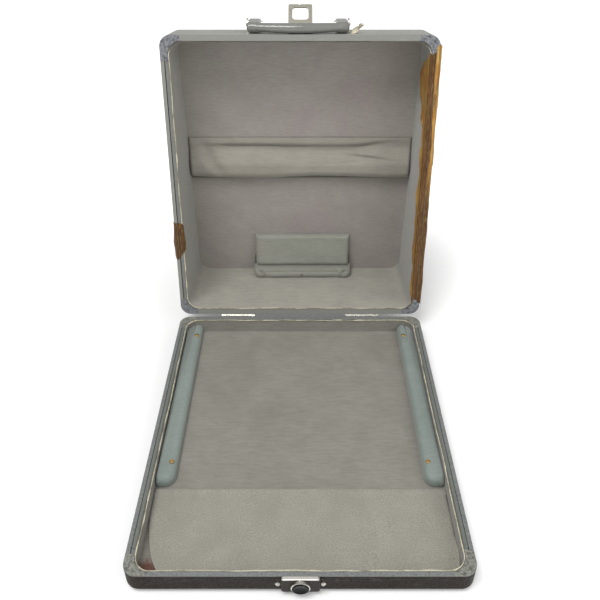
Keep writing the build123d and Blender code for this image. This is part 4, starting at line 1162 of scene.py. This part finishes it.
@dataclass
class RepairTape:
    """Kraft tape folded over a side rim of the lid, standing off its outer corner, with torn edges.

    Attributes:
        side: -1 on the left, 1 on the right.
        edges: (s, first share, last share) rows; how much of the section the tape covers at each s.
        seed: picks the rumpling.
        finish: its finish.
        flat: width and length that it was torn to, metres; not used.
        kept: share of that rectangle that is left, after the tears; not used.
        flare: how far its outer part stands off the lid's side, mm.
        swell: how much more both edges stand off at the middle of its length, mm.
    """

    side: int
    edges: tuple[tuple[float, float, float], ...]
    seed: int
    finish: Finish
    flat: tuple[float, float]
    kept: float
    flare: float = 2.8
    swell: float = 0.0

    def profile(self) -> Array:
        """The tape's section from its outer edge, under the rim, across the strip and over the edging.

        Returns:
            (n, 2) array of x from the middle and height above the rim, mm.
        """
        out = CASE_W / 2 + 0.2 + self.flare
        return np.array([
            (out - 0.6, 17.0), (out, 9.0), (out, 4.0), (out - 0.8, 1.4), (out - 1.8, 0.2),
            (182.4, -0.11), (178.2, -0.11), (177.6, 0.5), (176.9, 1.45), (173.6, 1.5), (172.9, 0.9),
            (172.4, 0.25), (170.6, 0.22), (170.1, 0.9), (170.05, 2.6), (171.0, 5.0), (171.3, 9.0),
        ])

    def build(self) -> Piece:
        """Carries the section along the rim; long edges and ends wander, and the loose part is rumpled."""
        shape, table = self.profile(), np.array(self.edges)
        far, (near, end) = walked(shape), table[[0, -1], 0]
        s = np.linspace(near, end, max(40, int((end - near) / 1.4)))
        first = np.interp(s, *table[:, :2].T) + 0.045 * (1 + ripple(point(s), self.seed, 34, 5))
        last = np.interp(s, table[:, 0], table[:, 2]) - 0.030 * (1 + ripple(point(s), self.seed + 1, 26, 5))
        across = first[:, None] + (last - first)[:, None] * np.linspace(0, 1, 56)
        s, place = s[:, None], across * far[-1]
        x, h = np.moveaxis(along(shape, place), -1, 0)
        rumple = ripple(point(s, place), self.seed + 2, 60, 4)
        swell = self.swell * bump(s, (near + end) / 2, (end - near) / 3.2)
        x = x + step(place, far[5], far[2]) * (0.9 * rumple - 0.3 + swell)
        x = x - step(place, far[11], far[14]) * (0.25 * (1 - rumple) + swell)
        torn = bump(s, near, 5) + bump(s, end, 5)
        s = s + 2.2 * torn * ripple(point(0 * place, place), self.seed + 3, 16)
        points = point(self.side * x, s, h)
        piece = paper(f"kraft_repair_tape_{SIDES[self.side]}", points, across, self.finish)
        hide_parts(f"repair_tape_{SIDES[self.side]}")
        return piece


@dataclass
class WallFlap:
    """Torn part of the right tape that lies on the lid's side lining, its free edge curling off it.

    Attributes:
        reach: (s, height above the rim) rows of its free edge, mm.
        start: height above the rim of the edge beneath the tape, mm.
    """

    reach: tuple[tuple[float, float], ...] = (
        (26, 11), (41, 17.5), (60, 17), (82, 20.5), (113, 25), (120, 21), (132, 19), (150, 20), (178, 21.5),
        (201, 20.5), (224, 19.5), (252, 22), (283, 19), (300, 33), (318, 47), (330, 55), (343, 61),
        (352, 61.5), (360, 57), (365, 49), (370, 44), (374, 26), (378, 17), (384, 10), (388, 7),
    )
    start: float = 6.0

    def build(self) -> Piece:
        """Fills the space between the two edges with a grid, lifted off the wall towards the free edge."""
        table = np.array(self.reach)
        s = np.linspace(table[0, 0], table[-1, 0], 260)
        top = np.interp(s, *table.T) + 1.3 * ripple(point(s), 71, 17, 4)
        s, t = s[:, None], np.linspace(0, 1, 26)
        h = self.start + (np.maximum(top, self.start + 0.6)[:, None] - self.start) * t
        flat = point(s, h)
        lift = 0.3 + 0.25 * (1 + ripple(flat, 72, 50)) + 1.3 * t**3 * (1 + ripple(flat, 73, 36))
        piece = paper("kraft_wall_flap", point(LINED_X - lift, s, h), 0.0, Finish.KRAFT)
        return piece


@dataclass
class CornerSkin:
    """Leathercloth turned over a corner of a rim, from the front or rear band on to the side band.

    Attributes:
        side: -1 on the left, 1 on the right.
        in_lid: whether it is on the lid.
        rear: whether it is at a rear corner.
        front: distance of the lined space from the front or rear face, mm.
        length: how far it runs along the side, mm.
    """

    side: int
    in_lid: bool
    rear: bool
    front: float
    length: float

    def edge(self, x_out: float, y_front: float, radius: float, u: Array) -> Array:
        """One edge of the skin: a straight along the front, a quarter circle and a straight along the side.

        Args:
            x_out: x of the side, mm.
            y_front: y of the front, mm.
            radius: of the corner, mm.
            u: share of the way, 0 to 1.

        Returns:
            (n, 2) array of x and y, mm.
        """
        angle = np.radians(90 * np.clip((u - 0.3) / 0.4, 0, 1))
        x = x_out - radius + radius * np.sin(angle)
        y = y_front + radius - radius * np.cos(angle)
        x = np.where(u < 0.3, 156 + (x_out - radius - 156) * u / 0.3, x)
        y = np.where(u > 0.7, y_front + radius + (self.length - y_front - radius) * (u - 0.7) / 0.3, y)
        return np.stack([x, y], -1)

    def build(self) -> Piece:
        """Fills the space between the outer and inner edges; its side end dips into the recess."""
        u, v = np.linspace(0, 1, 120), np.linspace(0, 1, 26)
        outer = self.edge(CASE_W / 2 - 0.15, 0.15, 14.85, u)[:, None]
        inner = self.edge(LINED_X + 0.6, self.front - 0.4, 18.4, u)[:, None]
        x, y = np.moveaxis(inner + (outer - inner) * v[:, None], -1, 0)
        flat, u = point(x, y), u[:, None]
        end = step(u, 0.0, 0.07) * (1 - step(u, 0.90, 1.0))
        lift = (0.06 + 0.015 * ripple(flat, 81, 12, 2)) * end - 0.06 * (1 - end)
        dip = 1.75 * (1 - step(x, 177.0, 178.2)) * step(u, 0.80, 0.93)
        y = y + 1.6 * step(u, 0.8, 1) * ripple(flat, 82, 9)
        if self.rear:
            y = CASE_D - y
        z = LID_RIM - lift + dip if self.in_lid else BASE_RIM + lift
        body, end_word = "lid" if self.in_lid else "base", "rear" if self.rear else "front"
        name = f"{body}_corner_skin_{end_word}_{SIDES[self.side]}"
        piece = thin(name, point(self.side * x, y, z), self.in_lid, SKIN_T)
        settle(piece, Finish.LID_CORNER if self.in_lid else Finish.BASE_CORNER, self.in_lid)
        return piece


@dataclass
class TornScrap:
    """Scrap of frayed cotton webbing, caught behind the handle's right bracket and standing off the lid.

    Attributes:
        start: its caught end, mm.
        end: its free end, mm.
        width: mm.
    """

    start: tuple[float, float, float] = (66.8, -0.9, 47.0)
    end: tuple[float, float, float] = (84.0, -11.0, 45.0)
    width: float = 10.0

    def build(self) -> Piece:
        """Twists a narrow grid between its ends, narrows it and tears its free end into fingers."""
        t, v = np.meshgrid(np.linspace(0, 1, 60), np.linspace(-0.5, 0.5, 15), indexing="ij")
        start, end = np.array(self.start), np.array(self.end)
        points = start + (end - start) * t[..., None]
        points[..., 2] += 1.6 * np.sin(math.pi * t) - 1.5 * t
        turn = 0.15 + 1.1 * t + 0.3 * np.sin(5 * t)
        wide = self.width * (1 - 0.5 * step(t, 0.1, 1.0)) * (1 + 0.12 * ripple(point(t * 20), 91, 7))
        points += point(0.15 * np.sin(turn), -np.sin(turn), np.cos(turn)) * (v * wide)[..., None]
        points[..., 0] += 5.5 * step(t, 0.55, 1.0) * (ripple(point(0 * t, v * 40), 92, 13) - 0.4)
        points[..., 1] -= 0.5 * t * ripple(point(t * 20, v * 40), 93, 9)
        points[..., 1] = np.minimum(points[..., 1], -0.35)
        piece = thin("torn_webbing_scrap", points, True, WEBBING_T)
        settle(piece, Finish.EDGING, True)
        return piece


# ------------------------------------------------------------------------------------ stage
@dataclass(frozen=True)
class Studio:
    """Pale floor, soft white surroundings, two large lamps and the camera.

    Attributes:
        focal: lens, mm on a sensor 36 mm wide.
        pitch: degrees that the camera looks down.
        eye: camera place in the shut case's coordinates, mm.
        shift_y: share of the frame by which it is moved down.
        aim: the point that the lamps face, metres.
        half_x: half the width of the floor's unlit middle, under the case, metres.
        half_y: the same from front to rear, metres.
    """

    focal: float = 38.892
    pitch: float = 33.787
    eye: tuple[float, float, float] = (0.0, -361.76, 671.27)
    shift_y: float = -50.41 / 600
    aim: tuple[float, float, float] = (0.0, 0.0, 0.1)
    half_x: float = 0.17
    half_y: float = 0.27

    @staticmethod
    def hang(data: bpy.types.Camera | bpy.types.Light, place: Any, tilt: Any) -> Piece:
        """Puts a camera or lamp in the scene, at a place in metres and with a rotation in radians."""
        made = bpy.data.objects.new(data.name, data)
        made.location = place
        made.rotation_euler = tilt
        bpy.context.scene.collection.objects.link(made)
        return made

    def camera(self) -> None:
        """Places the camera."""
        data = bpy.data.cameras.new("camera")
        data.sensor_width, data.lens, data.shift_y, data.clip_end = 36.0, self.focal, self.shift_y, 50.0
        place = Vector(CASE.place(np.array(self.eye), False))
        bpy.context.scene.camera = self.hang(data, place, (math.radians(90 - self.pitch), 0, 0))

    def lamp(self, name: str, place: tuple[float, float, float], size: float, watts: float) -> None:
        """Hangs a square lamp that faces the case; place and size are in metres."""
        data = bpy.data.lights.new(name, "AREA")
        data.size, data.energy = size, watts
        self.hang(data, place, (Vector(self.aim) - Vector(place)).to_track_quat("-Z", "Y").to_euler())

    def floor(self) -> None:
        """Lays a pale floor, under the case's shadow, that glows away from it so that it shows as white."""
        corners = np.array([(-6, -6, 0), (6, -6, 0), (6, 6, 0), (-6, 6, 0)], float)
        made = mesh_object("studio_floor", corners, [[0, 1, 2, 3]], smooth=False)
        g = Graph("white_paper_floor")
        squares = []
        for value, half in zip(g.axes(g.add("TexCoord").outputs["Object"]), (self.half_x, self.half_y)):
            past = g.math("MAXIMUM", g.math("SUBTRACT", g.math("ABSOLUTE", value), half), 0.0)
            squares.append(g.math("POWER", past, 2.0))
        rays = g.add("LightPath").outputs
        seen = g.math("MAXIMUM", g.math("MAXIMUM", rays["Is Camera Ray"], rays["Is Glossy Ray"]),
                      rays["Is Transmission Ray"])
        rise = g.times(g.between(g.math("SQRT", g.math("ADD", *squares)), 0.02, 0.30), 0.5, seen)
        plain = g.add("BsdfDiffuse", {"Color": linear("#f4f4f4")})
        glow = g.add("Emission", {"Color": linear("#ffffff"), "Strength": g.math("ADD", rise, 0.12)})
        made.data.materials.append(g.close(g.add("AddShader", {0: plain.outputs[0], 1: glow.outputs[0]})))

    def world(self) -> None:
        """Surrounds the scene with soft light that is white to the camera and through clear pieces."""
        g = Graph("studio", world=True)
        rays = g.add("LightPath").outputs
        seen = g.math("MAXIMUM", rays["Is Camera Ray"], rays["Is Transmission Ray"])
        soft, white = (g.add("Background", {"Color": linear("#ffffff"), "Strength": s}) for s in (0.5, 1.0))
        bpy.context.scene.world = g.close(
            g.add("MixShader", {0: seen, 1: soft.outputs[0], 2: white.outputs[0]}))

    def build(self) -> None:
        """Sets up the whole studio."""
        self.camera()
        self.floor()
        self.world()
        self.lamp("key_lamp", (-0.45, -0.75, 2.1), 0.9, 29.0)
        self.lamp("fill_lamp", (1.2, -0.9, 1.2), 1.4, 8.0)
        bpy.context.scene.view_settings.view_transform = "Standard"


# ------------------------------------------------------------------------------------ the whole
class Maker(Protocol):
    """Whatever builds one piece."""

    def build(self) -> Piece:
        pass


def makers() -> list[Maker]:
    """The makers of the case's soft pieces and skins, in the order in which they are built."""
    right_tape = ((18, 0.10, 0.86), (30, 0.0, 1.0), (372, 0.0, 1.0), (384, 0.0, 0.86), (397, 0.0, 0.5))
    left_tape = ((89, 0.40, 0.5), (96, 0.3, 0.66), (108, 0.1, 0.86), (120, 0.0, 1.0), (140, 0.0, 1.0),
                 (149, 0.08, 0.8))
    skins = (
        (-1, True, False, 7.7, 34.0), (1, True, False, 7.7, 24.0), (-1, False, False, 5.0, 24.0),
        (1, False, False, 5.0, 29.0), (-1, True, True, 8.0, 26.0), (1, True, True, 8.0, 25.0),
        (-1, False, True, 7.0, 26.0), (1, False, True, 7.0, 26.0),
    )
    return [
        Bolster(), RearPad(), SideRail(-1), SideRail(1), FloorPad(),
        Edging(False, 5.0, 403.0, 30.3, 31),
        Edging(True, 7.7, 402.0, 32.8, 41),
        RepairTape(1, right_tape, 51, Finish.KRAFT, (0.041, 0.379), 0.90),
        RepairTape(-1, left_tape, 61, Finish.KRAFT_SMALL, (0.043, 0.060), 0.68, 1.6, 1.7),
        WallFlap(), TornScrap(), *(CornerSkin(*skin) for skin in skins),
    ]


def main() -> None:
    """Dresses the CAD nodes, and builds every other piece of the case and the studio round it."""
    logging.basicConfig(level=logging.INFO, format="%(message)s")
    for finish, names in NODE_FINISHES.items():
        for name in names.split():
            dress(frame["nodes"][name], finish)
    for maker in makers():
        piece = maker.build()
        log.info("%s: %d faces", piece.name, len(piece.data.polygons))
    Studio().build()


if __name__ == "__main__":
    main()
